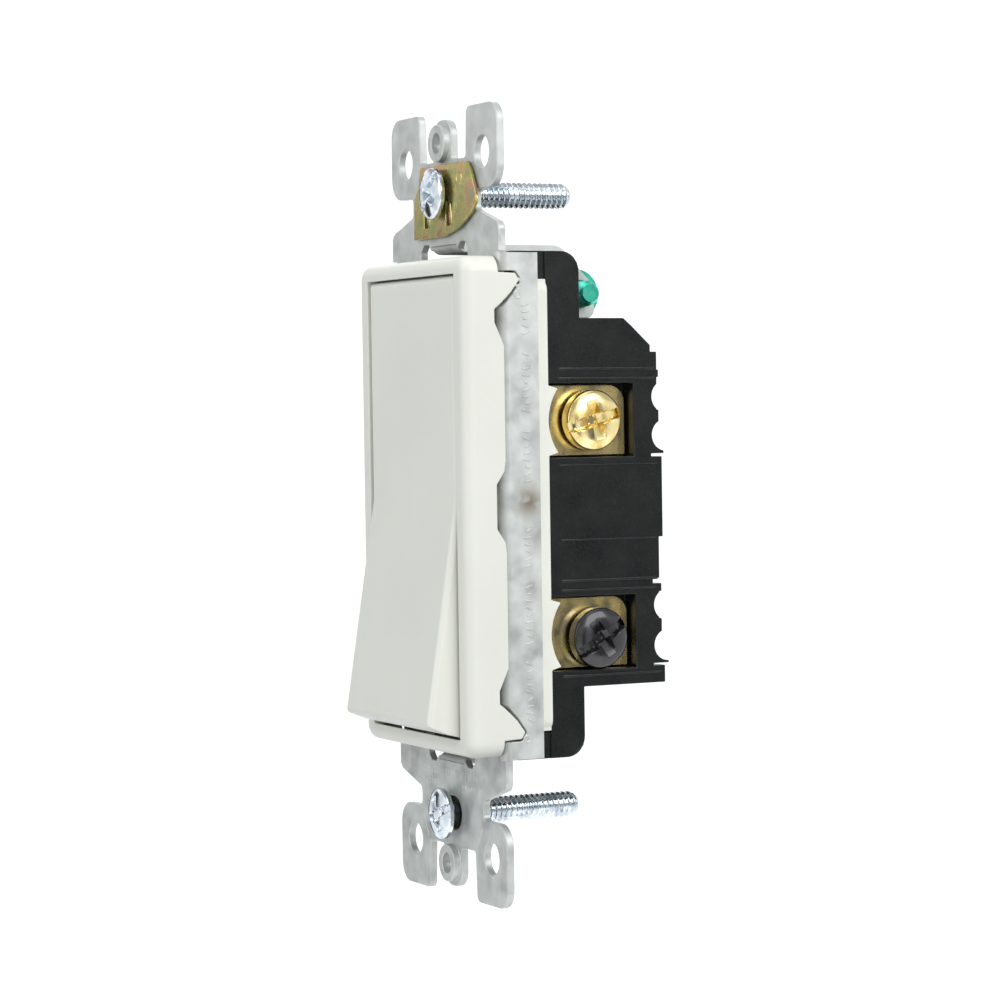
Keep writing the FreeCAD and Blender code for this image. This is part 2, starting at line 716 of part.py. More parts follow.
def seesaw_contact():
    """Copper bar that tips on the common terminal's post."""
    bar = box("Seesaw", ("-seesaw_half_width", "seesaw_half_width"),
              ("-0.1 - seesaw_sheet", "-0.1"), ("-seesaw_half_length", "seesaw_half_length"))
    whole = sub_part(fuse("SeesawBar", [bar, both_sides("cheeks", box(
        "cheek", ("seesaw_half_width - 0.5", "seesaw_half_width"), ("-2.1", "-0.5"),
        ("2.6", "6")), "X"), ]), "seesaw_contact")
    tilt(whole, "seesaw_pivot", "seesaw_half_angle")
    return whole


def moving_contacts():
    """Silver buttons on the back of the bar, one at each end."""
    button = rod("moving_button", "Y", "contact_radius", "-0.1", "-0.1 + contact_height",
                 ("0", "contact_place"))
    whole = sub_part(both_sides("MovingContacts", button, "Z"), "moving_contacts")
    tilt(whole, "seesaw_pivot", "seesaw_half_angle")
    return whole


def fixed_contact(label, height):
    button = rod(f"{label}_button", "Y", "contact_radius", "fixed_contact_front", "strip_front",
                 ("0", height))
    return sub_part(button, label)


def terminal_plate(name, bay, screw_depth, screw_height, leg):
    """Brass plate in its bay, with a front arm that hooks over the wall and a leg inside."""
    plate = prism(f"{name}_plate", "YZ_Plane", [
        ("terminal_front", f"{bay} - bay_half_height + 0.2"),
        ("bay_back - 0.3", f"{bay} - bay_half_height + 0.2"),
        ("bay_back - 0.3", f"{bay} + bay_half_height - 0.2"),
        ("terminal_front", f"{bay} + bay_half_height - 0.2"),
    ], "terminal_inner", "terminal_outer")
    upper_corner = [("bay_back - 0.3", f"{bay} + bay_half_height - 0.2")]
    round_corners(plate, "YZ_Plane", upper_corner, "2.4")
    low, high = leg
    arm = box(f"{name}_arm", ("chamber_half_width - 1.2", "terminal_inner + 0.1"),
              ("terminal_front", "terminal_front + strip_sheet"), (low, high))
    hole = rod(f"{name}_hole", "X", "terminal_shank_radius + thread_play", "0", "20",
               (screw_depth, screw_height))
    return cut(f"{name}_drilled", fuse(f"{name}_blank", [plate, arm]), [hole])


def terminal_leg(name, back, leg):
    """Strip that runs from the front arm back to the contact level."""
    low, high = leg
    return box(name, ("chamber_half_width - 1.2", "chamber_half_width - 0.3"),
               ("terminal_front", back), (low, high))


def right_traveller():
    leg = ("upper_bay + 2.7", "upper_bay + bay_half_height - 0.2")
    plate = terminal_plate("right", "upper_bay", "upper_screw_depth", "upper_bay", leg)
    back = "strip_front + strip_sheet"
    strips = [
        box("right_strip", ("-1.8", "chamber_half_width - 0.3"), ("strip_front", back),
            ("contact_place - 1.6", "contact_place + 1.6")),
        box("right_riser", ("chamber_half_width - 3", "chamber_half_width - 0.3"),
            ("strip_front", back), ("contact_place - 1.6", leg[1])),
    ]
    whole = fuse("RightTraveller", [plate, terminal_leg("right_leg", back, leg), *strips])
    return sub_part(whole, "traveller_terminal_right")


def left_traveller():
    """Same plate on the other side; its strip runs down to the lower contact."""
    leg = ("upper_bay + 2.7", "upper_bay + bay_half_height - 0.2")
    plate = terminal_plate("left", "upper_bay", "upper_screw_depth", "upper_bay", leg)
    back = "strip_front + strip_sheet"
    strips = [
        box("left_strip", ("-1.8", "chamber_half_width - 0.3"), ("strip_front", back),
            ("-contact_place - 1.6", "-contact_place + 1.6")),
        box("left_riser", ("chamber_half_width - 3", "chamber_half_width - 0.3"),
            ("strip_front", back), ("-contact_place - 1.6", leg[1])),
    ]
    right_handed = fuse("left_traveller_right_handed",
                        [plate, terminal_leg("left_leg", back, leg), *strips])
    return sub_part(mirror("LeftTraveller", right_handed, "X"), "traveller_terminal_left")


def common_terminal():
    """Plate under the black screw, strip to the centre, and the post the bar tips on."""
    leg = ("lower_bay + bay_half_height - 2.6", "lower_bay + bay_half_height - 0.3")
    plate = terminal_plate("common", "lower_bay", "lower_screw_depth", "lower_screw", leg)
    back = "common_strip_front + strip_sheet"
    strips = [
        box("common_riser", ("chamber_half_width - 3", "chamber_half_width - 0.3"),
            ("common_strip_front", back), (leg[0], "1.5")),
        box("common_strip", ("-seesaw_half_width", "chamber_half_width - 0.3"),
            ("common_strip_front", back), ("-1.5", "1.5")),
        box("common_post", ("-seesaw_half_width", "seesaw_half_width"),
            ("seesaw_pivot + 0.5", "common_strip_front + 0.1"), ("-0.5", "0.5")),
        rod("common_post_tip", "X", "0.5", "-seesaw_half_width", "seesaw_half_width",
            ("seesaw_pivot + 0.5", "0")),
    ]
    whole = fuse("Common", [plate, terminal_leg("common_leg", back, leg), *strips])
    return sub_part(whole, "common_terminal")


def wire_clamp(label, x_side, z_low, z_high):
    """Folded spring strip that grips a wire pushed in from the back."""
    tongue = "(clamp_inner + clamp_outer) / 2 + 0.3"
    profile = [
        ("clamp_inner", "clamp_front"),
        ("clamp_outer", "clamp_front"),
        ("clamp_outer", "clamp_back"),
        ("clamp_outer - clamp_sheet", "clamp_back"),
        ("clamp_outer - clamp_sheet", "clamp_front + clamp_sheet"),
        ("clamp_inner + 1.4 * clamp_sheet", "clamp_front + clamp_sheet"),
        (tongue, "clamp_free_end"),
        (f"{tongue} - clamp_sheet", "clamp_free_end"),
        ("clamp_inner", "clamp_front + 1.5 * clamp_sheet"),
    ]
    clamp = prism(f"{label}_strip", "XY_Plane", profile, z_low, z_high)
    if x_side == "left":
        return sub_part(mirror(f"{label}_mirror", clamp, "X"), label)
    return sub_part(clamp, label)


# ---- screws ------------------------------------------------------------------------------

def screw_head(name, radius, under, rim, dome):
    """Domed round head turned about Y: flat underside, straight rim, arched top with recesses."""
    top = f"-({under}) - ({rim}) - ({dome})"
    body = doc.addObject("PartDesign::Body", name)
    points = [("0", f"-({under})"), (radius, f"-({under})"), (radius, f"-({under}) - ({rim})"),
              (f"({radius}) * 0.72", f"-({under}) - ({rim}) - ({dome}) * 0.62"),
              (f"({radius}) * 0.36", f"{top} + ({dome}) * 0.07"), ("0", top)]
    sketch = outline_sketch(body, f"{name}_profile", "XY_Plane", points, "0")
    turned = body.newObject("PartDesign::Revolution", f"{name}_turned")
    turned.Profile = sketch
    turned.ReferenceAxis = (sketch, ["V_Axis"])
    turned.Angle = 360
    doc.recompute()
    slot = box(f"{name}_slot", (f"-({radius}) - 1", f"({radius}) + 1"),
               (f"{top} - 1", f"{top} + slot_depth"), ("-slot_half_width", "slot_half_width"))
    cross = box(f"{name}_cross", ("-cross_half_width", "cross_half_width"),
                (f"{top} - 1", f"{top} + cross_depth"),
                (f"-({radius}) * cross_reach", f"({radius}) * cross_reach"))
    return cut(f"{name}_recessed", body, [slot, cross])


def screw(label, head_radius, under, rim, dome, shank_radius, tip, neck=None):
    """Screw along +Y with its head towards -Y and a chamfered tip.

    neck is (radius, end) of an unthreaded stretch under the head, where there is one.
    """
    pieces = [screw_head(f"{label}_head", head_radius, under, rim, dome)]
    thread_start = f"-({under})"
    if neck:
        neck_radius, neck_end = neck
        pieces.append(rod(f"{label}_neck", "Y", neck_radius, thread_start, neck_end,
                          ("0", "0")))
        thread_start = neck_end
    pieces.append(rod(f"{label}_shank", "Y", shank_radius, thread_start,
                      f"{tip} - screw_point_length", ("0", "0")))
    point = doc.addObject("Part::Cone", f"{label}_point")
    point.Placement.Rotation = FreeCAD.Rotation(FreeCAD.Vector(1, 0, 0), -90)
    bind(point, "Radius1", shank_radius)
    bind(point, "Radius2", f"({shank_radius}) - screw_point_taper")
    bind(point, "Height", "screw_point_length")
    bind(point, "Placement.Base.y", f"{tip} - screw_point_length")
    return fuse(f"{label}_screw", pieces + [point])


def box_screw(label, height):
    whole = screw(label, "box_head_radius", "box_head_under", "box_head_rim", "box_head_dome",
                  "box_screw_radius", "box_screw_tip",
                  neck=("box_screw_neck_radius", "box_screw_thread_start"))
    bind(whole, "Placement.Base.z", height)
    return sub_part(whole, label)


def side_screw(label, radius, shank, head, depth, height, turn, quarter):
    """Screw that enters along X: built along +Y, spun by its slot angle, then laid over.

    head is (underside, front, tip) as distances along X; quarter is +1 for a head on the
    right and -1 for a head on the left.
    """
    under, front, tip = head
    made = screw(label, radius, "0", f"({front} - ({under})) * 0.62",
                 f"({front} - ({under})) * 0.38", shank, f"{under} - ({tip})")
    spin = FreeCAD.Rotation(FreeCAD.Vector(0, 1, 0), turn)
    lay = FreeCAD.Rotation(FreeCAD.Vector(0, 0, 1), 90 * quarter)
    made.Placement.Rotation = lay.multiply(spin)
    bind(made, "Placement.Base.x", under if quarter > 0 else minus(under))
    bind(made, "Placement.Base.y", depth)
    bind(made, "Placement.Base.z", height)
    return sub_part(made, label)


def screw_washer(label, height):
    """Fibre square that keeps a box screw in the strap."""
    block = box(f"{label}_block", ("-washer_half_width", "washer_half_width"),
                ("washer_gap", "washer_gap + washer_sheet"),
                (f"{height} - washer_half_width", f"{height} + washer_half_width"))
    hole = rod(f"{label}_hole", "Y", "box_screw_radius + pin_play", "-1", "5", ("0", height))
    return sub_part(cut(f"{label}_square", block, [hole]), label)


# Outline of the grounding clip: across, and above the screw's centre
CLIP_OUTLINE = [
    ("-5.6", "3.9"), ("8.7", "3.8"), ("9.8", "2.5"), ("11.3", "-0.3"), ("11.3", "-1.8"),
    ("9.9", "-3"), ("6", "-4.9"), ("1.3", "-5.8"), ("-7.9", "-5.8"), ("-7.7", "-0.3"),
    ("-6.4", "1.2"),
]


def grounding_clip():
    """Springy plate under the head of the upper box screw, with two prongs cut free."""
    screw_z = "screw_height"
    points = [(across, f"{screw_z} + ({above})") for across, above in CLIP_OUTLINE]
    plate = prism("clip_plate", "XZ_Plane", points, "-clip_front", "clip_sheet - clip_front")
    hole = rod("clip_hole", "Y", "clip_hole_radius", "-5", "5", ("0", screw_z))
    prongs = []
    for side, start in (("left", "-4.6"), ("right", "2.2")):
        prongs.append(box(f"prong_slot_{side}", (start, f"{start} + 1.9"), ("-5", "5"),
                          (f"{screw_z} - 4.4", f"{screw_z} - 1.2")))
    lip = box("clip_lip", ("-6", "-1"),
              ("-clip_front + 0.1", "-strap_sheet - 0.05"),
              (f"{screw_z} - 5.8", f"{screw_z} - 5.4"))
    return sub_part(cut("Clip", fuse("clip_blank", [plate, lip]), [hole, *prongs]),
                    "grounding_clip")


# ---- inner frame and body ----------------------------------------------------------------

def inner_frame():
    """Cream cover: skirt inside the flanges, lip behind them, deck under the rocker."""
    nose = [("frame_nose_half_width", "frame_half_height"),
            ("frame_nose_half_width", "-frame_half_height"),
            ("-frame_nose_half_width", "-frame_half_height"),
            ("-frame_nose_half_width", "frame_half_height")]
    lip = [("frame_half_width", "frame_half_height"),
           ("frame_half_width", "-frame_half_height"),
           ("-frame_half_width", "-frame_half_height"),
           ("-frame_half_width", "frame_half_height")]
    nose_block = prism("frame_nose", "XZ_Plane", nose, "frame_front", "frame_back")
    lip_block = prism("frame_lip", "XZ_Plane", lip, "flange_back + 0.05", "frame_back")
    round_corners(lip_block, "XZ_Plane", lip, "1.6")
    wall_in = "frame_nose_half_width - frame_wall"
    end_in = "frame_half_height - frame_wall"
    front_room = box("frame_front_room", (minus(wall_in), wall_in), ("-1", "deck_front"),
                     ("-window_half_height - 1", "window_half_height + 1"))
    back_room = box("frame_back_room", (minus(wall_in), wall_in), ("deck_back", "9"),
                    (minus(end_in), end_in))
    boss_room = box("boss_room", ("-boss_radius - 1", "boss_radius + 1"), ("0", "9"),
                    ("-boss_radius - 2", "boss_radius + 2"))
    ear_room = box("ear_room", ("rocker_half_width - 2.2", "window_half_width + 0.3"),
                   ("-1", "hinge_depth + lug_half_width + 0.6"),
                   ("-lug_half_width - 1", "lug_half_width + 1"))
    teeth = []
    for side, bay, depth, place in (("upper", "upper_bay", "upper_screw_depth", "upper_bay"),
                                    ("lower", "lower_bay", "lower_screw_depth", "lower_bay")):
        tongue = prism(f"tooth_{side}", "YZ_Plane", [
            ("frame_back - 0.6", f"{bay} + tooth_root_half_height"),
            ("frame_back + tooth_length", f"{bay} + tooth_tip_half_height"),
            ("frame_back + tooth_length", f"{bay} - tooth_tip_half_height"),
            ("frame_back - 0.6", f"{bay} - tooth_root_half_height"),
        ], "terminal_outer + 0.1", "frame_half_width")
        scoop = rod(f"scoop_{side}", "X", "scoop_radius", "10", "20",
                    ("frame_back + scoop_radius", place))
        teeth.append(cut(f"tooth_{side}_scooped", tongue, [scoop]))
    upper_left = mirror("tooth_upper_left", teeth[0], "X")
    blank = fuse("frame_blank", [nose_block, lip_block, *teeth, upper_left])
    whole = cut("InnerFrame", blank, [front_room, back_room, boss_room,
                                      both_sides("ear_rooms", ear_room, "X")])
    return sub_part(whole, "inner_frame")


# Raised bands across the back of the body: (low, high, back, full width or side fins only)
BACK_BANDS = {
    "shoulder": ("15.2", "20.1", "23.15", True),
    "upper_rib": ("16.7", "17.7", "23.4", True),
    "upper_nub": ("10.4", "12.3", "23.4", False),
    "upper_lip": ("6.5", "7.4", "24.1", False),
    "upper_hollows": ("7.3", "15.3", "23.15", False),
    "middle": ("-4.65", "6.1", "23.8", True),
    "step": ("-10.2", "-4.6", "23.2", True),
    "lower_rib": ("-12", "-10.9", "23.5", False),
    "lower_nub": ("-17.7", "-15.6", "23.5", False),
    "lower_lip": ("-21.6", "-20.7", "24.5", False),
    "lower_hollows": ("-20.8", "-11.9", "23.15", False),
    "foot": ("-24.2", "-21.9", "23.9", True),
}
HOLLOW_PLACES = ("14.1", "8.95", "-13.8", "-19.2")


def back_bands():
    bands = []
    for name, (low, high, back, full) in BACK_BANDS.items():
        if full:
            bands.append(box(f"band_{name}", ("-body_half_width", "body_half_width"),
                             ("deep_back - 1", back), (low, high)))
        else:
            fin = box(f"fin_{name}", ("fin_inner", "body_half_width"), ("bay_back", back),
                      (low, high))
            bands.append(both_sides(f"fins_{name}", fin, "X"))
    return bands


def body_blank():
    """Outer form: shallow tray the full height, deep centre block, bands and end caps."""
    tray = [("body_front", "body_half_height"), ("tray_back", "body_half_height"),
            ("tray_back", "-body_half_height"), ("body_front", "-body_half_height")]
    tray_block = prism("tray", "YZ_Plane", tray, "-body_half_width", "body_half_width")
    round_corners(tray_block, "YZ_Plane", tray[1:3], "body_shoulder")
    cap = box("end_cap", ("-body_half_width + 0.2", "body_half_width - 0.2"),
              ("cap_front", "body_front + 0.1"), ("frame_half_height + 0.15", "body_half_height"))
    boss = box("tray_boss", ("-tongue_half_width - 0.6", "tongue_half_width + 0.6"),
               ("tray_back - 3", "tray_boss_back"), ("deep_top - 0.5", "body_half_height - 0.6"))
    deep = prism("deep_block", "YZ_Plane", [
        ("tray_back - 0.2", "deep_top"), ("deep_back - 4", "deep_top"),
        ("deep_back - 2.7", "deep_top - 1.1"), ("deep_back", "deep_top - 3.6"),
        ("deep_back", "deep_bottom"), ("tray_back - 0.2", "deep_bottom"),
    ], "-body_half_width", "body_half_width")
    return fuse("body_blank", [
        tray_block, both_sides("end_caps", cap, "Z"), both_sides("tray_bosses", boss, "Z"),
        deep, *back_bands(),
    ])


def terminal_bay(name, bay, notch):
    """Room for one screw terminal: open pocket in the side, and a slot for the plate's arm."""
    low, high = notch
    pocket = box(f"{name}_pocket", ("terminal_inner - 0.05", "body_half_width + 1"),
                 ("body_front - 1", "bay_back"), (f"{bay} - bay_half_height",
                                                   f"{bay} + bay_half_height"))
    slot = box(f"{name}_slot", ("chamber_half_width - 0.5", "terminal_outer"),
               ("body_front - 1", "terminal_front + strip_sheet + 0.1"),
               (f"{low} - 0.1", f"{high} + 0.1"))
    return fuse(f"{name}_bay", [pocket, slot])


def back_hollows():
    """Round channels across the side fins, above and below each nub."""
    channels = [
        rod(f"hollow_{number}", "X", "hollow_radius", "fin_inner", "body_half_width + 1",
            ("hollow_floor + hollow_radius", height))
        for number, height in enumerate(HOLLOW_PLACES)
    ]
    return both_sides("hollows", fuse("hollows_right", channels), "X")


def shank_room(name, depth, height):
    return rod(name, "X", "terminal_shank_radius + 0.35", "chamber_half_width - 1",
               "body_half_width", (depth, height))


def body_housing():
    """Black tray and deep block, cored out for the switch works, with three terminal bays."""
    upper = terminal_bay("upper", "upper_bay",
                         ("upper_bay + 2.7", "upper_bay + bay_half_height - 0.2"))
    lower = terminal_bay("lower", "lower_bay",
                         ("lower_bay + bay_half_height - 2.6",
                          "lower_bay + bay_half_height - 0.3"))
    chamber = box("chamber", ("-chamber_half_width", "chamber_half_width"),
                  ("body_front - 1", "chamber_back"), ("chamber_bottom", "chamber_top"))
    end_room = box("end_room", ("-body_half_width + 1.8", "body_half_width - 1.8"),
                   ("body_front - 1", "tray_back - 1.6"), ("deep_top + 0.2", "frame_half_height"))
    upper_shank = shank_room("upper_shank_room", "upper_screw_depth", "upper_bay")
    lower_shank = shank_room("lower_shank_room", "lower_screw_depth", "lower_screw")
    wire_holes = []
    for name, x_place, height in (("right", "wire_hole_place", "19.6"),
                                  ("left", "-wire_hole_place", "19.6"),
                                  ("common", "wire_hole_place", "-20.2")):
        wire_holes.append(rod(f"wire_hole_{name}", "Y", "wire_hole_radius", "18", "30",
                              (x_place, height)))
        wire_holes.append(box(f"release_{name}", (f"{x_place} - 3.4", f"{x_place} - 2.4"),
                              ("18", "30"), (f"{height} - 1.3", f"{height} + 1.3")))
    hollow = cut("body_hollow", body_blank(), [
        chamber, back_hollows(), both_sides("end_rooms", end_room, "Z"),
        both_sides("upper_bays", upper, "X"), lower,
        both_sides("upper_shank_rooms", upper_shank, "X"), lower_shank, *wire_holes,
    ])
    posts = [
        box("post_upper", ("-1.8", "1.8"), ("strip_front + strip_sheet", "chamber_back + 0.1"),
            ("contact_place - 1.4", "contact_place + 1.4")),
        box("post_lower", ("-1.8", "1.8"), ("strip_front + strip_sheet", "chamber_back + 0.1"),
            ("-contact_place - 1.4", "-contact_place + 1.4")),
        box("post_middle", ("-1.8", "1.8"), ("common_strip_front + strip_sheet",
                                             "chamber_back + 0.1"), ("-1.4", "1.4")),
    ]
    return sub_part(fuse("Body", [hollow, *posts]), "body_housing")


# ---- assembly ----------------------------------------------------------------------------

def build():
    mounting_strap()
    bezel_frame()
    rocker()
    rocker_plunger()
    rocker_spring()
    inner_frame()
    body_housing()
    seesaw_contact()
    moving_contacts()
    fixed_contact("fixed_contact_upper", "contact_place")
    fixed_contact("fixed_contact_lower", "-contact_place")
    right_traveller()
    left_traveller()
    common_terminal()
    wire_clamp("wire_clamp_right", "right", "17.9", "21.6")
    wire_clamp("wire_clamp_left", "left", "17.9", "21.6")
    wire_clamp("wire_clamp_common", "right", "-22", "-18.4")
    box_screw("box_screw_upper", "screw_height")
    box_screw("box_screw_lower", "-screw_height")
    screw_washer("screw_washer_upper", "screw_height")
    screw_washer("screw_washer_lower", "-screw_height")
    grounding_clip()
    reach = ("terminal_head_back", "terminal_head_front", "terminal_tip")
    upper = ("upper_screw_depth", "upper_bay")
    lower = ("lower_screw_depth", "lower_screw")
    side_screw("traveller_screw_right", "terminal_head_radius", "terminal_shank_radius", reach,
               *upper, 75, 1)
    side_screw("traveller_screw_left", "terminal_head_radius", "terminal_shank_radius", reach,
               *upper, 60, -1)
    side_screw("common_screw", "terminal_head_radius", "terminal_shank_radius", reach,
               *lower, 35, 1)
    earth = ("-(tongue_half_width - strap_sheet - 0.05)",
             "-(tongue_half_width - strap_sheet - 0.05 - earth_head_height)",
             "-earth_screw_tip")
    side_screw("ground_screw", "earth_head_radius", "box_screw_radius", earth,
               "earth_screw_depth", "earth_screw_height", 40, -1)


def check():
    """Stop before anything is written if an object failed or a piece isn't a sound solid."""
    failed = [thing.Name for thing in doc.Objects
              if "Invalid" in thing.State or "Error" in thing.State]
    if failed:
        raise SystemExit(f"failed objects: {failed}")
    for piece in SUB_PARTS:
        shape = piece.Shape
        if shape.isNull() or not shape.isValid() or not shape.Solids:
            raise SystemExit(f"{piece.Label} has no sound solid")
        print(f"{piece.Label}: {len(shape.Solids)} solid(s), {shape.Volume:.1f} mm3")


def export():
    os.makedirs("parts", exist_ok=True)
    for piece in SUB_PARTS:
        piece.Shape.exportStep(f"parts/{piece.Label}.step")


build()
doc.recompute()
check()
export()
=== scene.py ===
# %% [markdown]
# # A rocker wall switch
# This notebook dresses a mechanical model of a flush wall switch: a white rocker in a white
# frame, on a galvanised steel strap that wraps round a black body with screw terminals.
# The model's own parts arrive as a fixed frame. Each cell below adds one finish or one
# detailed piece to it, in the place that the frame gives.

import json
import math

import bmesh
import bpy
import numpy as np
from mathutils import Matrix, Vector


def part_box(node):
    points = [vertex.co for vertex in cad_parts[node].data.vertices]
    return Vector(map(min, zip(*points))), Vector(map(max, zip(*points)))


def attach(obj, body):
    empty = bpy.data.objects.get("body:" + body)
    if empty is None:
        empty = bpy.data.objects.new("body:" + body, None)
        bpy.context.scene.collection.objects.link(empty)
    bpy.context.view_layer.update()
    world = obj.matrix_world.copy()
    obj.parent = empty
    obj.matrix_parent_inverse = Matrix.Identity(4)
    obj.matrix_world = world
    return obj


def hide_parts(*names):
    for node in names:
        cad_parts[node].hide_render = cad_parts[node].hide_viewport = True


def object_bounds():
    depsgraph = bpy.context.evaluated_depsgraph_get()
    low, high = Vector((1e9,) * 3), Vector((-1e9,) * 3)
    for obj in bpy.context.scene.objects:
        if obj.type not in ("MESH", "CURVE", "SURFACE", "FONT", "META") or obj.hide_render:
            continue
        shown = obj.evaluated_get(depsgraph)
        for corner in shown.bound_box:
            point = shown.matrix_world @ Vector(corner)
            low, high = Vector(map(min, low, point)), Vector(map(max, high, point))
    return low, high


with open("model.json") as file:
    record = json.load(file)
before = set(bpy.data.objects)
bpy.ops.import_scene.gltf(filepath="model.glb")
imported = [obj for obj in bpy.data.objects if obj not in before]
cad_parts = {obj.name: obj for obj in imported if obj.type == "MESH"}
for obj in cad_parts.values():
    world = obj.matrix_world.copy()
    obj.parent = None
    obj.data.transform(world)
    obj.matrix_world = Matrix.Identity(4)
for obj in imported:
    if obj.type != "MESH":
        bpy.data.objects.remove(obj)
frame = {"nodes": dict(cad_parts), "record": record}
cad_low, cad_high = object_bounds()
print("model box in metres:", [round(v, 4) for v in cad_high - cad_low])

# %% [markdown]
# ## Units
# Blender works in metres and a switch is measured in millimetres. Two short helpers keep the
# millimetres readable: one turns a size into metres, the other reads a part's box back.

# %% Millimetres
MM = 0.001


def box_mm(node):
    """Lowest and highest corner of a part of the frame, in millimetres."""
    low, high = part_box(node)
    return np.array(low) / MM, np.array(high) / MM


print("strap box in millimetres:", *[corner.round(2) for corner in box_mm("mounting_strap")])

# %% [markdown]
# ## Directions
# The camera, the lamps and the cards all stand on spheres round the switch. Two angles say
# where each stands, which is easier to reason about than a typed position.

# %% Two angles
def direction(azimuth, elevation):
    """Unit direction for two angles in degrees: azimuth 0 is the front and 90 the right."""
    a, e = math.radians(azimuth), math.radians(elevation)
    return math.sin(a) * math.cos(e), -math.cos(a) * math.cos(e), math.sin(e)


print("the right is towards", [round(v, 3) for v in direction(90.0, 0.0)])

# %% [markdown]
# ## The camera
# A long lens seen from the right and a little above shows the side of the switch with little
# perspective. The camera is placed by its two angles, then shifted a little along its own
# axes, and leaned slightly.

# %% Place the camera
CAMERA_AZIMUTH = 63.56
CAMERA_ELEVATION = 1.72
CAMERA_LEAN = math.radians(-0.84)
CAMERA_DISTANCE = 420.7 * MM
CAMERA_RIGHT = 6.12 * MM
CAMERA_UP = 0.46 * MM
LENS = 112.3
SENSOR = 36.0


def place_camera():
    """Build the camera's axes: it looks back along its own Z, X is to its right, Y is up."""
    away = Vector(direction(CAMERA_AZIMUTH, CAMERA_ELEVATION))
    right = (-away).cross(Vector((0, 0, 1))).normalized()
    up = right.cross(-away)
    place = away * CAMERA_DISTANCE + right * CAMERA_RIGHT + up * CAMERA_UP
    across = right * math.cos(CAMERA_LEAN) + up * math.sin(CAMERA_LEAN)
    upward = up * math.cos(CAMERA_LEAN) - right * math.sin(CAMERA_LEAN)
    data = bpy.data.cameras.new("studio_camera")
    data.lens = LENS
    data.sensor_width = SENSOR
    data.clip_start = 10 * MM
    camera = bpy.data.objects.new("studio_camera", data)
    camera.matrix_world = Matrix.Translation(place) @ Matrix(
        (across, upward, away)).transposed().to_4x4()
    bpy.context.scene.collection.objects.link(camera)
    bpy.context.scene.camera = camera
    return place


camera_place = place_camera()
print("camera at", [round(v / MM, 1) for v in camera_place], "mm")

# %% [markdown]
# ## A mesh from arrays
# Most pieces below are surfaces worked out as whole arrays. This helper takes a grid of
# points, joins neighbouring points into four-sided faces, and can close the grid round into
# a tube and cap it with a single point at each end. Writing the faces as index arrays is
# faster than adding them one by one, and every shape shares the same rule for which way
# its faces point.

# %% Grid surfaces
def grid_faces(rows, columns, wrap_columns=True):
    """Corner numbers of the four-sided faces between neighbouring points of a grid."""
    column_count = columns if wrap_columns else columns - 1
    row, column = np.meshgrid(np.arange(rows - 1), np.arange(column_count), indexing="ij")
    next_row, next_column = row + 1, (column + 1) % columns
    corners = (row * columns + column, next_row * columns + column,
               next_row * columns + next_column, row * columns + next_column)
    return np.stack([corner.ravel() for corner in corners], axis=1)


def new_piece(name, points, faces, smooth_below=180.0):
    """Make an object from points in millimetres; edges sharper than the angle stay crisp."""
    mesh = bpy.data.meshes.new(name)
    mesh.from_pydata((np.asarray(points) * MM).tolist(), [], [list(f) for f in faces])
    mesh.validate()
    mesh.shade_smooth()
    if smooth_below < 180.0:
        mesh.set_sharp_from_angle(angle=math.radians(smooth_below))
    piece = bpy.data.objects.new(name, mesh)
    bpy.context.scene.collection.objects.link(piece)
    return piece


def closed_tube(name, rings, start, end, smooth_below):
    """Rings of points from a start point to an end point, closed by a fan at each."""
    rows, columns = rings.shape[:2]
    points = np.concatenate([rings.reshape(-1, 3), [start], [end]])
    faces = grid_faces(rows, columns).tolist()
    column = np.arange(columns)
    after = (column + 1) % columns
    last = (rows - 1) * columns
    faces += np.stack([np.full(columns, rows * columns), column, after], axis=1).tolist()
    faces += np.stack([np.full(columns, rows * columns + 1), last + after, last + column],
                      axis=1).tolist()
    return new_piece(name, points, faces, smooth_below)


print("grid of 3 by 4 points gives", len(grid_faces(3, 4)), "faces")

# %% [markdown]
# ## The studio floor
# A pale floor that curves up into a wall all round gives an even background to every view
# that looks level or down. From well below, the sky shows over the wall's rim.
# It could be a plane with a separate backdrop, but a bowl has no seam and no edge in view.
# Its profile is a flat disc, a quarter circle and a short wall, turned about the vertical.
# It is hidden from diffuse light only, so that its white doesn't wash out the shading: the sky
# and the lamps light matt surfaces, while polished ones still mirror the bowl.

# %% Floor
FLOOR_BELOW = 260.0
FLOOR_RADIUS = 1300.0
CURVE_RADIUS = 350.0
WALL_HEIGHT = 500.0


def studio_floor():
    """Radius and height along the profile, carried round a full turn."""
    flat = np.linspace(0.0, 1.0, 9)[1:] * (FLOOR_RADIUS - CURVE_RADIUS)
    bend = np.linspace(0.0, math.pi / 2, 17)[1:]
    radius = np.concatenate([flat, FLOOR_RADIUS - CURVE_RADIUS + CURVE_RADIUS * np.sin(bend),
                             [FLOOR_RADIUS]])
    height = np.concatenate([np.zeros_like(flat), CURVE_RADIUS * (1 - np.cos(bend)),
                             [CURVE_RADIUS + WALL_HEIGHT]])
    turn = np.linspace(0.0, 2 * math.pi, 96, endpoint=False)
    bottom = cad_low.z / MM - FLOOR_BELOW
    rings = np.stack([radius[:, None] * np.cos(turn), radius[:, None] * np.sin(turn),
                      np.repeat(height[:, None] + bottom, turn.size, axis=1)], axis=2)
    centre = [[0.0, 0.0, bottom]]
    faces = grid_faces(*rings.shape[:2]).tolist()
    column = np.arange(turn.size)
    hub = rings.shape[0] * turn.size
    faces += np.stack([np.full(turn.size, hub), column, (column + 1) % turn.size],
                      axis=1).tolist()
    return new_piece("studio_floor", np.concatenate([rings.reshape(-1, 3), centre]), faces)


floor = studio_floor()
floor.visible_diffuse = False
print("floor height", round(floor.bound_box[0][2] / MM, 1), "mm")

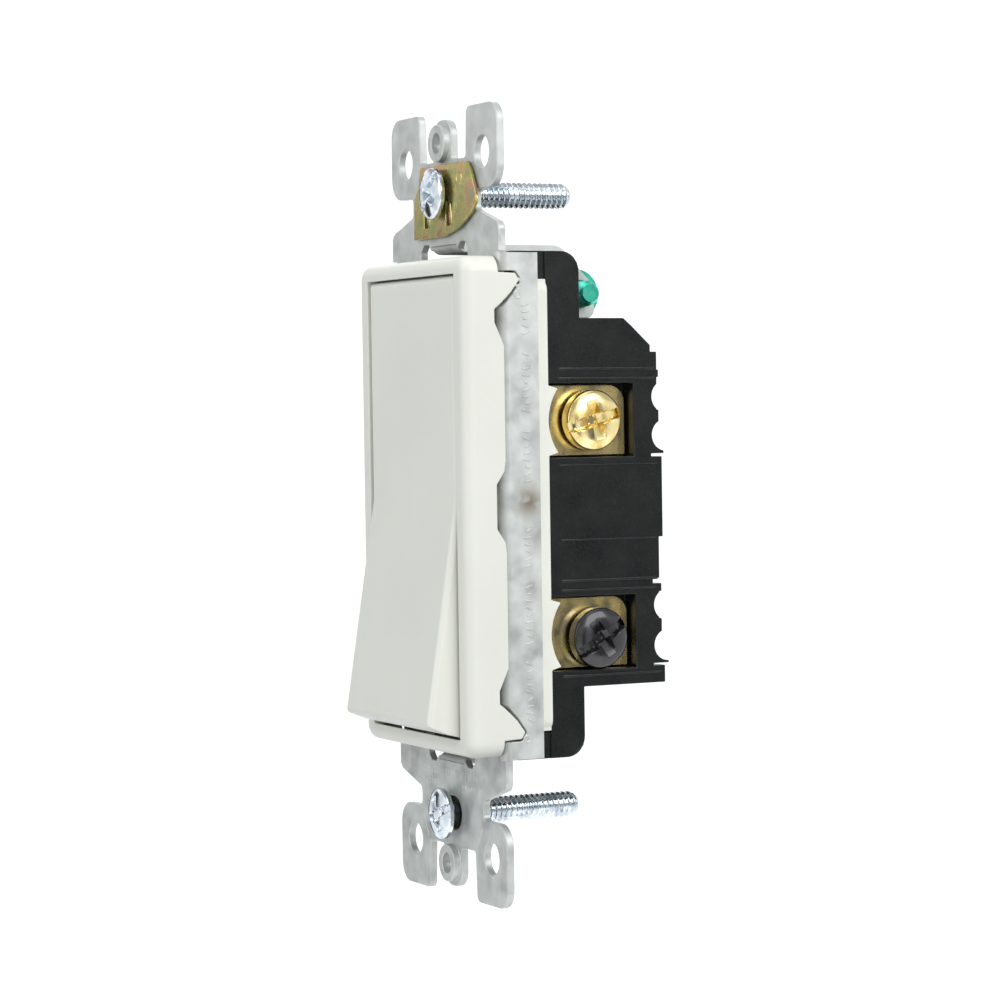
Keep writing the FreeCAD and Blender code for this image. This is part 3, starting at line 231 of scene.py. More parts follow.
# %% [markdown]
# ## Lights
# A large soft light on the right lights the side that the camera sees, a weaker one in front
# lights the rocker's face, and one above lights the top edges. The sky gives a pale fill.
# A fourth lamp, behind on the left, keeps the far side from going black.

# %% Soft lights
SKY_COLOUR = (0.93, 0.95, 1.0)
SKY_STRENGTH = 0.60
# name, azimuth, elevation, distance in mm, width, height in mm, power in watts
LIGHTS = (
    ("side_light", 105.0, 28.0, 900.0, 620.0, 620.0, 5.0),
    ("front_light", 8.0, 22.0, 900.0, 500.0, 700.0, 2.5),
    ("top_light", 60.0, 80.0, 800.0, 700.0, 700.0, 1.5),
    ("far_side_light", 250.0, 35.0, 1000.0, 700.0, 700.0, 1.6),
)


def soft_light(name, azimuth, elevation, distance, width, height, power):
    """A rectangular light on a sphere round the switch, facing its middle."""
    place = Vector(direction(azimuth, elevation))
    data = bpy.data.lights.new(name, "AREA")
    data.shape = "RECTANGLE"
    data.size, data.size_y = width * MM, height * MM
    data.energy = power
    light = bpy.data.objects.new(name, data)
    light.location = place * distance * MM
    light.rotation_euler = place.to_track_quat("Z", "Y").to_euler()
    bpy.context.scene.collection.objects.link(light)


for row in LIGHTS:
    soft_light(*row)
sky = bpy.data.worlds.new("studio_sky")
sky.use_nodes = True
sky.node_tree.nodes["Background"].inputs["Color"].default_value = (*SKY_COLOUR, 1)
sky.node_tree.nodes["Background"].inputs["Strength"].default_value = SKY_STRENGTH
bpy.context.scene.world = sky
bpy.context.scene.view_settings.view_transform = "Standard"
print(len(LIGHTS), "soft lights")

# %% [markdown]
# ## Dark cards
# Polished metal shows what stands round it, and in a wholly white room it looks flat. Narrow
# black cards beside the lights put dark bands into the screws and the plates. They could be
# gaps between lights, but cards are easier to place one by one. Only reflections see them:
# the camera, the shadows and the matt surfaces don't.

# %% Cards
# azimuth, elevation, distance in mm, width, height in mm
CARDS = (
    (88.0, -6.0, 620.0, 150.0, 420.0),
    (38.0, 2.0, 640.0, 110.0, 520.0),
    (117.0, -2.0, 640.0, 170.0, 460.0),
    (296.0, -4.0, 640.0, 190.0, 260.0),
    (70.0, -42.0, 520.0, 420.0, 130.0),
    (268.0, -2.0, 620.0, 140.0, 420.0),
)


def dark_card(number, azimuth, elevation, distance, width, height):
    """A flat card on a sphere round the switch, facing its middle."""
    away = np.array(direction(azimuth, elevation))
    level = np.cross([0.0, 0.0, 1.0], away)
    level /= np.linalg.norm(level)
    upright = np.cross(away, level)
    corners = [away * distance + u * level * width / 2 + v * upright * height / 2
               for u, v in ((-1, -1), (1, -1), (1, 1), (-1, 1))]
    card = new_piece(f"dark_card_{number}", corners, [[0, 1, 2, 3]])
    card.visible_camera = False
    card.visible_diffuse = False
    card.visible_shadow = False
    return card


cards = [dark_card(number, *row) for number, row in enumerate(CARDS)]
print(len(cards), "dark cards")

# %% [markdown]
# ## How the finishes are made
# Every finish is a set of shader nodes, with no pictures. The helpers below are the few moves
# that they share: a noise read at the piece's own place, a colour picked along a ramp by that
# noise, a range of roughness, and small bumps. Reading the place on the object keeps the
# pattern fixed to the piece when it moves.

# %% Finish helpers
finishes = {}


def new_finish(slot, colour, metallic, roughness):
    """A material with one shader; its even values are set on the shader itself."""
    material = bpy.data.materials.new(slot)
    material.use_nodes = True
    shader = material.node_tree.nodes["Principled BSDF"]
    shader.inputs["Base Color"].default_value = (*colour, 1)
    shader.inputs["Metallic"].default_value = metallic
    shader.inputs["Roughness"].default_value = roughness
    finishes[slot] = material
    return material.node_tree, shader


def grain(tree, size_mm, detail=3.0, stretch=(1.0, 1.0, 1.0), kind="noise"):
    """A value from 0 to 1 that changes over about size_mm, longer along a stretched axis."""
    place = tree.nodes.new("ShaderNodeTexCoord")
    mapping = tree.nodes.new("ShaderNodeMapping")
    mapping.inputs["Scale"].default_value = [1 / s for s in stretch]
    tree.links.new(place.outputs["Object"], mapping.inputs["Vector"])
    if kind == "noise":
        texture = tree.nodes.new("ShaderNodeTexNoise")
        texture.inputs["Detail"].default_value = detail
        result = texture.outputs["Fac"]
    else:
        texture = tree.nodes.new("ShaderNodeTexVoronoi")
        result = texture.outputs["Color"]
    texture.inputs["Scale"].default_value = 1 / (size_mm * MM)
    tree.links.new(mapping.outputs["Vector"], texture.inputs["Vector"])
    return result


def spread(tree, value, low, high, start=0.3, stop=0.7):
    """Carry a value's range from start to stop over to low to high."""
    node = tree.nodes.new("ShaderNodeMapRange")
    for socket, number in (("From Min", start), ("From Max", stop),
                           ("To Min", low), ("To Max", high)):
        node.inputs[socket].default_value = number
    tree.links.new(value, node.inputs["Value"])
    return node.outputs["Result"]


def ramp(tree, value, stops):
    """A colour picked along (place, colour) stops."""
    node = tree.nodes.new("ShaderNodeValToRGB")
    elements = node.color_ramp.elements
    while len(elements) < len(stops):
        elements.new(0.5)
    for element, (place, colour) in zip(elements, stops):
        element.position = place
        element.color = (*colour, 1)
    tree.links.new(value, node.inputs["Fac"])
    return node.outputs["Color"]


def bumps(tree, shader, heights):
    """Chain bumps, each a (value, height in mm) pair, into the shader's normal."""
    below = None
    for value, height in heights:
        node = tree.nodes.new("ShaderNodeBump")
        node.inputs["Distance"].default_value = height * MM
        tree.links.new(value, node.inputs["Height"])
        if below is not None:
            tree.links.new(below, node.inputs["Normal"])
        below = node.outputs["Normal"]
    tree.links.new(below, shader.inputs["Normal"])


def spot(tree, place_mm, radius_mm):
    """1 at a place on the object, falling to 0 over the radius."""
    place = tree.nodes.new("ShaderNodeTexCoord")
    gap = tree.nodes.new("ShaderNodeVectorMath")
    gap.operation = "DISTANCE"
    gap.inputs[1].default_value = [v * MM for v in place_mm]
    tree.links.new(place.outputs["Object"], gap.inputs[0])
    return spread(tree, gap.outputs["Value"], 1.0, 0.0, 0.0, radius_mm * MM)


def mix(tree, share, first, second):
    """The first colour with a share of the second laid over it."""
    node = tree.nodes.new("ShaderNodeMix")
    node.data_type = "RGBA"
    tree.links.new(share, node.inputs["Factor"])
    tree.links.new(first, node.inputs["A"])
    node.inputs["B"].default_value = (*second, 1)
    return node.outputs["Result"]


def product(tree, first, second):
    """Two values multiplied."""
    node = tree.nodes.new("ShaderNodeMath")
    node.operation = "MULTIPLY"
    tree.links.new(first, node.inputs[0])
    tree.links.new(second, node.inputs[1])
    return node.outputs[0]


def shade(colour, factor):
    """The same colour, lighter or darker."""
    return tuple(min(1.0, channel * factor) for channel in colour)


print("finish helpers ready")

# %% [markdown]
# ## Galvanised steel
# Hot-dipped sheet has a mottled grey-green skin of zinc crystals, dull in places, with faint
# drawing marks along the strap. Cells of a Voronoi pattern could give the crystals alone, but
# this sheet is skin-passed and soft, so a broad noise sets the mottle and cells only tint it.
# One small brown stain sits half-way along the right-hand flange, where the zinc wore through.

# %% Galvanised steel
STEEL = (0.50, 0.522, 0.500)
STAIN = (0.17, 0.13, 0.08)
STAIN_PLACE = (16.45, 2.9, 0.6)


def galvanised_steel():
    tree, shader = new_finish("galvanised_steel", STEEL, 0.50, 0.42)
    mottle = grain(tree, 2.6, 5.0)
    crystals = spread(tree, grain(tree, 1.1, kind="cells"), -0.05, 0.05, 0.0, 1.0)
    mixed = tree.nodes.new("ShaderNodeMath")
    mixed.operation = "ADD"
    tree.links.new(mottle, mixed.inputs[0])
    tree.links.new(crystals, mixed.inputs[1])
    stops = [(0.30, shade(STEEL, 0.84)), (0.48, STEEL), (0.60, shade(STEEL, 1.08)),
             (0.75, shade(STEEL, 1.20))]
    blot = product(tree, spot(tree, STAIN_PLACE, 3.0), spread(tree, mottle, 0.0, 1.0, 0.36, 0.52))
    tree.links.new(mix(tree, blot, ramp(tree, mixed.outputs[0], stops), STAIN),
                   shader.inputs["Base Color"])
    tree.links.new(spread(tree, mottle, 0.34, 0.55), shader.inputs["Roughness"])
    drawn = grain(tree, 0.12, 2.0, stretch=(1.0, 1.0, 18.0))
    bumps(tree, shader, [(mottle, 0.008), (drawn, 0.006)])


galvanised_steel()
print("finish: galvanised_steel")

# %% [markdown]
# ## White plastic
# The rocker and its frame are one satin white resin. A flat white would look like paper, so
# the colour drifts by a hair, the roughness varies, and a fine spark-eroded texture of a few
# microns breaks up the highlights. A little light travels under the surface.

# %% White plastic
WHITE = (0.745, 0.752, 0.680)


def white_plastic():
    tree, shader = new_finish("white_plastic", WHITE, 0.0, 0.36)
    drift = grain(tree, 14.0, 3.0)
    tree.links.new(ramp(tree, drift, [(0.3, shade(WHITE, 0.975)), (0.7, shade(WHITE, 1.015))]),
                   shader.inputs["Base Color"])
    texture = grain(tree, 0.22, 4.0)
    tree.links.new(spread(tree, texture, 0.30, 0.46), shader.inputs["Roughness"])
    shader.inputs["Subsurface Weight"].default_value = 0.08
    shader.inputs["Subsurface Radius"].default_value = (1.0, 0.9, 0.7)
    shader.inputs["Subsurface Scale"].default_value = 0.6 * MM
    bumps(tree, shader, [(texture, 0.004), (drift, 0.02)])


white_plastic()
print("finish: white_plastic")

# %% [markdown]
# ## Cream and natural nylon
# The inner frame is a warmer, softer plastic than the rocker, and the plunger is unpigmented
# nylon that lets more light in. Both come from one function, because they differ only in
# colour and in how far light travels.

# %% Nylons
def nylon(slot, colour, glow):
    tree, shader = new_finish(slot, colour, 0.0, 0.45)
    drift = grain(tree, 6.0, 3.0)
    tree.links.new(ramp(tree, drift, [(0.3, shade(colour, 0.96)), (0.7, shade(colour, 1.02))]),
                   shader.inputs["Base Color"])
    texture = grain(tree, 0.18, 3.0)
    tree.links.new(spread(tree, texture, 0.38, 0.55), shader.inputs["Roughness"])
    shader.inputs["Subsurface Weight"].default_value = glow
    shader.inputs["Subsurface Radius"].default_value = (1.0, 0.85, 0.6)
    shader.inputs["Subsurface Scale"].default_value = 0.8 * MM
    bumps(tree, shader, [(texture, 0.004)])


nylon("cream_nylon", (0.80, 0.81, 0.72), 0.15)
nylon("natural_nylon", (0.84, 0.82, 0.74), 0.35)
print("finishes: cream_nylon, natural_nylon")

# %% [markdown]
# ## Black moulding compound
# The body is a mineral-filled thermoset: a satin black with a trace of green. One broad noise
# lets the sheen drift where the mould flowed, and a fine one gives the mineral speckle.

# %% Black plastic
BLACK = (0.0060, 0.0075, 0.0072)


def black_plastic():
    tree, shader = new_finish("black_plastic", BLACK, 0.0, 0.40)
    speckle = grain(tree, 0.35, 5.0)
    tree.links.new(ramp(tree, speckle, [(0.35, shade(BLACK, 0.7)), (0.62, shade(BLACK, 1.3)),
                                        (0.80, shade(BLACK, 3.0))]),
                   shader.inputs["Base Color"])
    sheen = grain(tree, 4.0, 4.0)
    tree.links.new(spread(tree, sheen, 0.25, 0.32), shader.inputs["Roughness"])
    shader.inputs["Specular IOR Level"].default_value = 0.36
    bumps(tree, shader, [(speckle, 0.004)])


black_plastic()
print("finish: black_plastic")

# %% [markdown]
# ## Brass
# Rolled and stamped brass is bright, with slightly browner patches where fingers touched it
# and fine rolling lines. The same alloy serves the terminal plates and their screws.

# %% Brass
BRASS = (0.80, 0.65, 0.30)


def brass():
    tree, shader = new_finish("brass", BRASS, 1.0, 0.2)
    tarnish = grain(tree, 2.2, 5.0)
    stops = [(0.32, (0.58, 0.44, 0.16)), (0.5, BRASS), (0.72, (0.92, 0.80, 0.47))]
    tree.links.new(ramp(tree, tarnish, stops), shader.inputs["Base Color"])
    tree.links.new(spread(tree, tarnish, 0.30, 0.14), shader.inputs["Roughness"])
    rolled = grain(tree, 0.10, 2.0, stretch=(1.0, 12.0, 1.0))
    bumps(tree, shader, [(rolled, 0.002), (tarnish, 0.010)])


brass()
print("finish: brass")

# %% [markdown]
# ## Plated screws
# Four platings go on the screws and the grounding clip. Bright zinc is bluish and mirror-like,
# green and yellow are the same zinc under a dye or a chromate film, and black oxide is a thin
# dark skin that still shows the metal's shine. One function makes them all from a colour ramp,
# so that only the colours and the shine are stated for each.

# %% Platings
def plating(slot, stops, metallic, shine, size_mm=1.6):
    """A metal whose colour drifts along stops and whose roughness drifts over shine."""
    tree, shader = new_finish(slot, stops[len(stops) // 2][1], metallic, shine[0])
    film = grain(tree, size_mm, 5.0)
    tree.links.new(ramp(tree, film, stops), shader.inputs["Base Color"])
    tree.links.new(spread(tree, film, *shine), shader.inputs["Roughness"])
    pits = grain(tree, 0.14, 3.0)
    bumps(tree, shader, [(film, 0.008), (pits, 0.002)])
    return shader


plating("zinc_steel", [(0.3, (0.40, 0.46, 0.51)), (0.5, (0.60, 0.65, 0.69)),
                       (0.7, (0.80, 0.84, 0.87))], 1.0, (0.20, 0.09))
plating("green_zinc_steel", [(0.3, (0.02, 0.28, 0.18)), (0.5, (0.055, 0.64, 0.45)),
                             (0.7, (0.18, 0.86, 0.66))], 0.7, (0.32, 0.20))
plating("yellow_zinc_steel", [(0.28, (0.22, 0.27, 0.11)), (0.42, (0.38, 0.36, 0.12)),
                              (0.52, (0.50, 0.43, 0.16)), (0.62, (0.56, 0.33, 0.17)),
                              (0.74, (0.36, 0.42, 0.23))], 0.9, (0.34, 0.20), 3.0)
black_shader = plating("black_oxide_steel", [(0.3, (0.008, 0.008, 0.010)),
                                             (0.5, (0.016, 0.016, 0.018)),
                                             (0.75, (0.035, 0.030, 0.036))],
                       0.35, (0.34, 0.20))
black_shader.inputs["Coat Weight"].default_value = 0.5
black_shader.inputs["Coat Roughness"].default_value = 0.12
print("finishes: zinc_steel, green_zinc_steel, yellow_zinc_steel, black_oxide_steel")

# %% [markdown]
# ## Metals and fibre inside
# The spring, the rocking bar, the contact buttons and the fibre squares are seen only through
# gaps, but they are finished too. Drawn wire and rolled copper reuse the plating function.
# Vulcanised fibre is a layered brown board, so its noise is drawn out along its faces.

# %% Inner finishes
plating("spring_steel", [(0.3, (0.36, 0.37, 0.39)), (0.5, (0.50, 0.51, 0.53)),
                         (0.7, (0.62, 0.63, 0.65))], 1.0, (0.34, 0.24))
plating("copper_alloy", [(0.3, (0.55, 0.27, 0.15)), (0.5, (0.76, 0.42, 0.27)),
                         (0.7, (0.86, 0.55, 0.38))], 1.0, (0.30, 0.20))
plating("contact_silver", [(0.3, (0.70, 0.69, 0.66)), (0.5, (0.84, 0.83, 0.81)),
                           (0.7, (0.93, 0.92, 0.90))], 1.0, (0.26, 0.16))


def fibre_board():
    tree, shader = new_finish("fibre_board", (0.13, 0.085, 0.05), 0.0, 0.7)
    layers = grain(tree, 0.5, 5.0, stretch=(4.0, 0.4, 4.0))
    tree.links.new(ramp(tree, layers, [(0.3, (0.075, 0.048, 0.028)), (0.7, (0.19, 0.13, 0.08))]),
                   shader.inputs["Base Color"])
    tree.links.new(spread(tree, layers, 0.6, 0.85), shader.inputs["Roughness"])
    bumps(tree, shader, [(layers, 0.02)])


fibre_board()
print(len(finishes), "finishes made")

# %% [markdown]
# ## Floor paint
# The floor is a matt white surface with hardly any shine and a barely visible roller texture.
# It glows faintly, as a backdrop lit by its own lamps would, so that it stays white all round
# while the switch keeps its shading. The cards are flat black.

# %% Floor paint
def floor_paint():
    tree, shader = new_finish("floor_paint", (0.95, 0.95, 0.95), 0.0, 0.9)
    roller = grain(tree, 40.0, 2.0)
    tree.links.new(ramp(tree, roller, [(0.3, (0.945, 0.945, 0.945)), (0.7, (0.955, 0.955, 0.955))]),
                   shader.inputs["Base Color"])
    shader.inputs["Specular IOR Level"].default_value = 0.1
    shader.inputs["Emission Color"].default_value = (1, 1, 1, 1)
    shader.inputs["Emission Strength"].default_value = 0.40
    return finishes.pop("floor_paint")


floor.data.materials.append(floor_paint())
new_finish("card_black", (0.01, 0.01, 0.01), 0.0, 1.0)
card_black = finishes.pop("card_black")
for card in cards:
    card.data.materials.append(card_black)
print("floor and cards painted")

# %% [markdown]
# ## Which finish each part has
# The record says which material slot each part of the frame belongs to. Reading it from there,
# and not typing a second list, keeps the looks and the record in step.

# %% Slots
part_slot = {part["node"]: part["material_slot"] for part in frame["record"]["subparts"]}
part_body = {node: body for body, nodes in frame["record"]["behaviour"]["bodies"].items()
             for node in nodes}
print(len(part_slot), "parts in", len(set(part_slot.values())), "finishes")


def finish_piece(piece, node):
    """Give a new piece the finish, slot and body of the part that it stands for or sits on."""
    piece.data.materials.clear()
    piece.data.materials.append(finishes[part_slot[node]])
    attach(piece, part_body[node])
    return piece


# %% [markdown]
# ## Stamped and moulded parts
# A stamping or a moulding has no knife-sharp edges: the press rolls them over and the mould
# rounds them. The frame's parts have the right shape but hard edges. Each is copied, its loose
# triangles are merged and flat faces joined, and a small bevel then rounds what is still sharp.
# The copy stands for the part, which stays in the mechanical model. Weighting the shading by
# face area afterwards keeps the big flat faces flat, however small the faces beside them are.

# %% Rounded copies
FLAT_WITHIN = math.radians(0.6)
SHARP_FROM = math.radians(32)
MERGE_WITHIN = 0.0005
ROUND_STEPS = 2
FACE_WEIGHT = 60
# the strap's bends, in millimetres from the switch's middle
BEND_SIDE = 14.0
BEND_HEIGHTS = (32.5, 34.0)


def merged_copy(node):
    """The part's mesh with doubled points merged and its flat faces divided afresh.

    Joining the coplanar triangles and dividing them again gives compact triangles in place
    of the long slivers round holes, and the faces keep pointing outwards.
    """
    shape = bmesh.new()
    shape.from_mesh(frame["nodes"][node].data)
    bmesh.ops.remove_doubles(shape, verts=shape.verts, dist=MERGE_WITHIN * MM)
    bmesh.ops.dissolve_limit(shape, angle_limit=FLAT_WITHIN, verts=shape.verts,
                             edges=shape.edges)
    bmesh.ops.triangulate(shape, faces=shape.faces, ngon_method="BEAUTY")
    points = np.array([v.co for v in shape.verts]) / MM
    faces = [[v.index for v in face.verts] for face in shape.faces]
    sharp = {tuple(sorted(v.index for v in edge.verts)) for edge in shape.edges
             if len(edge.link_faces) == 2 and edge.calc_face_angle() > SHARP_FROM}
    shape.free()
    return points, faces, sharp


def mark_edges(mesh, points, sharp, left_sharp):
    """Weight 1 on each sharp edge to be rounded, and 0 where left_sharp says so."""
    weights = mesh.attributes.new("bevel_weight_edge", "FLOAT", "EDGE")
    pairs = [tuple(sorted(edge.vertices)) for edge in mesh.edges]
    weights.data.foreach_set("value", [
        float(pair in sharp and not any(left_sharp(points[i]) for i in pair))
        for pair in pairs])


def at_the_bend(point):
    """Corners at the height of the strap's bends, where the strap has no room to be rounded.

    Every part's corners there are left sharp, not only the strap's.
    """
    return abs(point[0]) > BEND_SIDE and BEND_HEIGHTS[0] < abs(point[2]) < BEND_HEIGHTS[1]


def rounded_part(node, edge_mm):
    """A copy of a part with its sharp edges rounded to about edge_mm."""
    points, faces, sharp = merged_copy(node)
    piece = new_piece(f"{node}_rounded", points, faces, smooth_below=35.0)
    mark_edges(piece.data, points, sharp, at_the_bend)
    bevel = piece.modifiers.new("rolled_edges", "BEVEL")
    bevel.width = edge_mm * MM
    bevel.segments = ROUND_STEPS
    bevel.limit_method = "WEIGHT"
    bevel.use_clamp_overlap = False
    bevel.loop_slide = False
    even = piece.modifiers.new("even_shading", "WEIGHTED_NORMAL")
    even.mode = "FACE_AREA"
    even.weight = FACE_WEIGHT
    even.keep_sharp = True
    finish_piece(piece, node)
    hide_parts(node)
    return piece


# part and how far its edges are rounded, in millimetres
ROUNDED = {
    "mounting_strap": 0.12, "bezel_frame": 0.16, "rocker": 0.12, "inner_frame": 0.14,
    "body_housing": 0.10, "traveller_terminal_right": 0.10, "traveller_terminal_left": 0.10,
    "common_terminal": 0.10, "grounding_clip": 0.08, "screw_washer_upper": 0.08,
    "screw_washer_lower": 0.08,
}
for node, edge in ROUNDED.items():
    rounded_part(node, edge)
print(len(ROUNDED), "parts rounded")

# %% [markdown]
# ## Screws
# Each screw is one closed surface: a domed crown with a combined slot and cross recess, a rim,
# an underside, a neck and a helical thread that ends in a chamfer. It could be cut with
# booleans, but a turned surface whose height is lowered by a recess function, and whose radius
# follows the thread, gives clean faces in one go.

# %% Screw surface
COLUMNS = 144
THREAD_PITCH = 0.794
THREAD_DEPTH = 0.42
THREAD_ROOT = 0.12          # share of the ridge that stays at the root
THREAD_FLANK = 0.72         # share that climbs to the crest
RUNOUT_DEPTH = 0.35         # share of the full depth where the thread begins
TIP_CHAMFER = 0.55
TIP_TAPER = 0.8
ROWS_PER_TURN = 12
WALL_LEAN = 0.16
CROSS_FLAT = 0.15           # share of a wing's reach that is cut to its full depth
CROWN_SWELL = 0.6
RIM_ROUND = 0.05
UNDERSIDE_ROUND = 0.12
NECK_ROUND = 0.1


def wall(distance, half_width):
    """1 inside a groove and 0 outside it, with a short slanted wall between."""
    return np.clip((half_width - np.abs(distance)) / WALL_LEAN + 0.5, 0.0, 1.0)


def recess_depth(along, across, head):
    """How far the crown is cut down at each point.

    The slot is equally deep along its whole length. Each wing of the cross is deepest in the
    middle and then runs up in a straight slope. The deepest of the cuts wins.
    """
    slot = head["slot_depth"] * wall(across, head["slot_width"] / 2)
    reach = head["cross_reach"]
    width = head["cross_width"] / 2
    wings = [head["cross_depth"] * np.clip(1 + CROSS_FLAT - np.abs(a) / reach, 0, 1)
             * wall(b, width) for a, b in ((along, across), (across, along))]
    return np.maximum.reduce([slot, *wings])


def crown(radius, head):
    """Height over the rim: a flattened dome that falls to zero at the rim."""
    share = np.clip(radius / head["radius"], 0, 1)
    return head["dome"] * (1 - share ** head["flatness"]) ** CROWN_SWELL


def thread_radius(turn, height, start, end, shank):
    """A V thread: the radius falls from the crest to the root and back once each pitch.

    It begins shallow under the neck, and the tip is turned down to a cone.
    """
    phase = height / THREAD_PITCH - turn / (2 * math.pi)
    ridge = np.abs(2 * (phase - np.floor(phase)) - 1)
    ridge = np.clip((ridge - THREAD_ROOT) / THREAD_FLANK, 0, 1)
    fade = np.clip((start - height) / THREAD_PITCH, 0, 1)
    depth = THREAD_DEPTH * (RUNOUT_DEPTH + (1 - RUNOUT_DEPTH) * fade)
    chamfer = np.clip((height - end) / TIP_TAPER, 0, 1) * TIP_CHAMFER - TIP_CHAMFER
    return np.minimum(shank - depth * (1 - ridge), shank + chamfer)


def screw_rings(head, shank):
    """Radius and height on a grid of rows by columns, from the crown down to the tip.

    Heights are measured up from the head's underside, so the shank's are below zero. The
    crown has more rows towards its middle, where the recess is.
    """
    turn = np.linspace(0, 2 * math.pi, COLUMNS, endpoint=False)
    top = np.concatenate([np.linspace(0.08, 0.72, 46), np.linspace(0.74, 0.998, 16)])
    radius = np.repeat((top * head["radius"])[:, None], COLUMNS, axis=1)
    height = head["rim"] + crown(radius, head) - recess_depth(
        radius * np.cos(turn), radius * np.sin(turn), head)
    side = np.array([[1.0, head["rim"] - RIM_ROUND], [1.0, UNDERSIDE_ROUND]])
    under = np.array([[head["radius"] - UNDERSIDE_ROUND, 0.0], [shank["neck"] + NECK_ROUND, 0.0],
                      [shank["neck"], -NECK_ROUND], [shank["neck"], -shank["neck_length"]]])
    side[:, 0] *= head["radius"]
    plain = np.concatenate([side, under])
    rows = int((shank["length"] - shank["neck_length"]) / THREAD_PITCH * ROWS_PER_TURN)
    down = np.linspace(-shank["neck_length"] - 0.02, -shank["length"], rows)
    thread = thread_radius(turn[None, :], down[:, None], -shank["neck_length"],
                           -shank["length"], shank["radius"])
    radius = np.concatenate([radius, np.repeat(plain[:, :1], COLUMNS, axis=1), thread])
    height = np.concatenate([height, np.repeat(plain[:, 1:], COLUMNS, axis=1),
                             np.repeat(down[:, None], COLUMNS, axis=1)])
    return turn, radius, height


def screw(node, head, shank, foot, out, slot_turn):
    """Build a screw whose head's underside is at foot, facing out, its slot turned in place."""
    out = np.array(out, float)
    upright = np.array([0.0, 0.0, 1.0])
    level = np.cross(upright, out)
    slot = level * math.cos(slot_turn) + upright * math.sin(slot_turn)
    other = np.cross(out, slot)
    turn, radius, height = screw_rings(head, shank)
    rings = (foot + (radius * np.cos(turn))[..., None] * slot
             + (radius * np.sin(turn))[..., None] * other + height[..., None] * out)
    middle = head["rim"] + head["dome"] - recess_depth(0.0, 0.0, head)
    piece = closed_tube(f"{node}_threaded", rings, foot + middle * out,
                        foot - shank["length"] * out, smooth_below=42.0)
    finish_piece(piece, node)
    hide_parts(node)
    return piece


# %% [markdown]
# ## The two box screws
# These are number 6 machine screws with a round washer-less head. Their length and the head's
# size come from the frame's box for each screw; the head's underside and the start of the
# thread are the two heights that a box can't tell.

# %% Box screws
BOX_HEAD = {"rim": 0.6, "flatness": 2.2, "slot_depth": 0.62, "slot_width": 0.95,
            "cross_depth": 1.15, "cross_reach": 2.1, "cross_width": 1.15}
BOX_UNDERSIDE = -2.3
BOX_NECK = {"neck": 1.55, "neck_length": 3.3, "radius": 1.75}


def box_screw(node, slot_turn):
    low, high = box_mm(node)
    head = BOX_HEAD | {"radius": (high[0] - low[0]) / 2,
                       "dome": BOX_UNDERSIDE - low[1] - BOX_HEAD["rim"]}
    shank = BOX_NECK | {"length": high[1] - BOX_UNDERSIDE}
    foot = np.array([(low[0] + high[0]) / 2, BOX_UNDERSIDE, (low[2] + high[2]) / 2])
    return screw(node, head, shank, foot, (0, -1, 0), slot_turn)


# part and its slot's turn in radians
BOX_SCREWS = (("box_screw_upper", 0.9), ("box_screw_lower", 0.35))
for row in BOX_SCREWS:
    piece = box_screw(*row)
    print(piece.name, len(piece.data.polygons), "faces")

# %% [markdown]
# ## The terminal and ground screws
# The terminal screws are stouter number 8 binding-head screws. They lie on their sides, two
# facing right and one left, and the green ground screw faces left in its tab. The frame's box
# gives each one's axis, its crown and its tip.

# %% Side screws
SIDE_HEAD = {"flatness": 3.2, "slot_depth": 0.95, "slot_width": 1.15,
             "cross_depth": 1.7, "cross_reach": 2.3, "cross_width": 1.45}
CROWN_SHARE = 0.38


def side_screw(node, outward, head_height, shank_radius, slot_turn):
    """A screw along X, with its head towards outward (+1 right, -1 left)."""
    low, high = box_mm(node)
    face, tip = (high[0], low[0]) if outward > 0 else (low[0], high[0])
    under = face - outward * head_height
    head = SIDE_HEAD | {"radius": (high[2] - low[2]) / 2, "rim": head_height * (1 - CROWN_SHARE),
                        "dome": head_height * CROWN_SHARE}
    shank = {"neck": shank_radius - 0.05, "neck_length": 0.3, "radius": shank_radius,
             "length": abs(under - tip)}
    foot = np.array([under, (low[1] + high[1]) / 2, (low[2] + high[2]) / 2])
    return screw(node, head, shank, foot, (outward, 0, 0), slot_turn)


# part, outward side, head height, shank radius in mm, slot's turn in radians
SIDE_SCREWS = (
    ("traveller_screw_right", 1, 2.5, 2.08, 0.26),
    ("common_screw", 1, 2.5, 2.08, 0.55),
    ("traveller_screw_left", -1, 2.5, 2.08, 1.2),
    ("ground_screw", -1, 2.3, 1.75, 0.8),
)
for row in SIDE_SCREWS:
    piece = side_screw(*row)
    print(piece.name, len(piece.data.polygons), "faces")

# %% [markdown]
# ## Raised strips and rings
# Stamped marks, mould lines and score lines are all low ridges on a flat skin. One function
# lays any number of them in a single mesh. A displacement map could do it too, but the skin
# would need very fine faces everywhere, and these need them only where a ridge is.

# %% Ridges
SUNK = 0.03


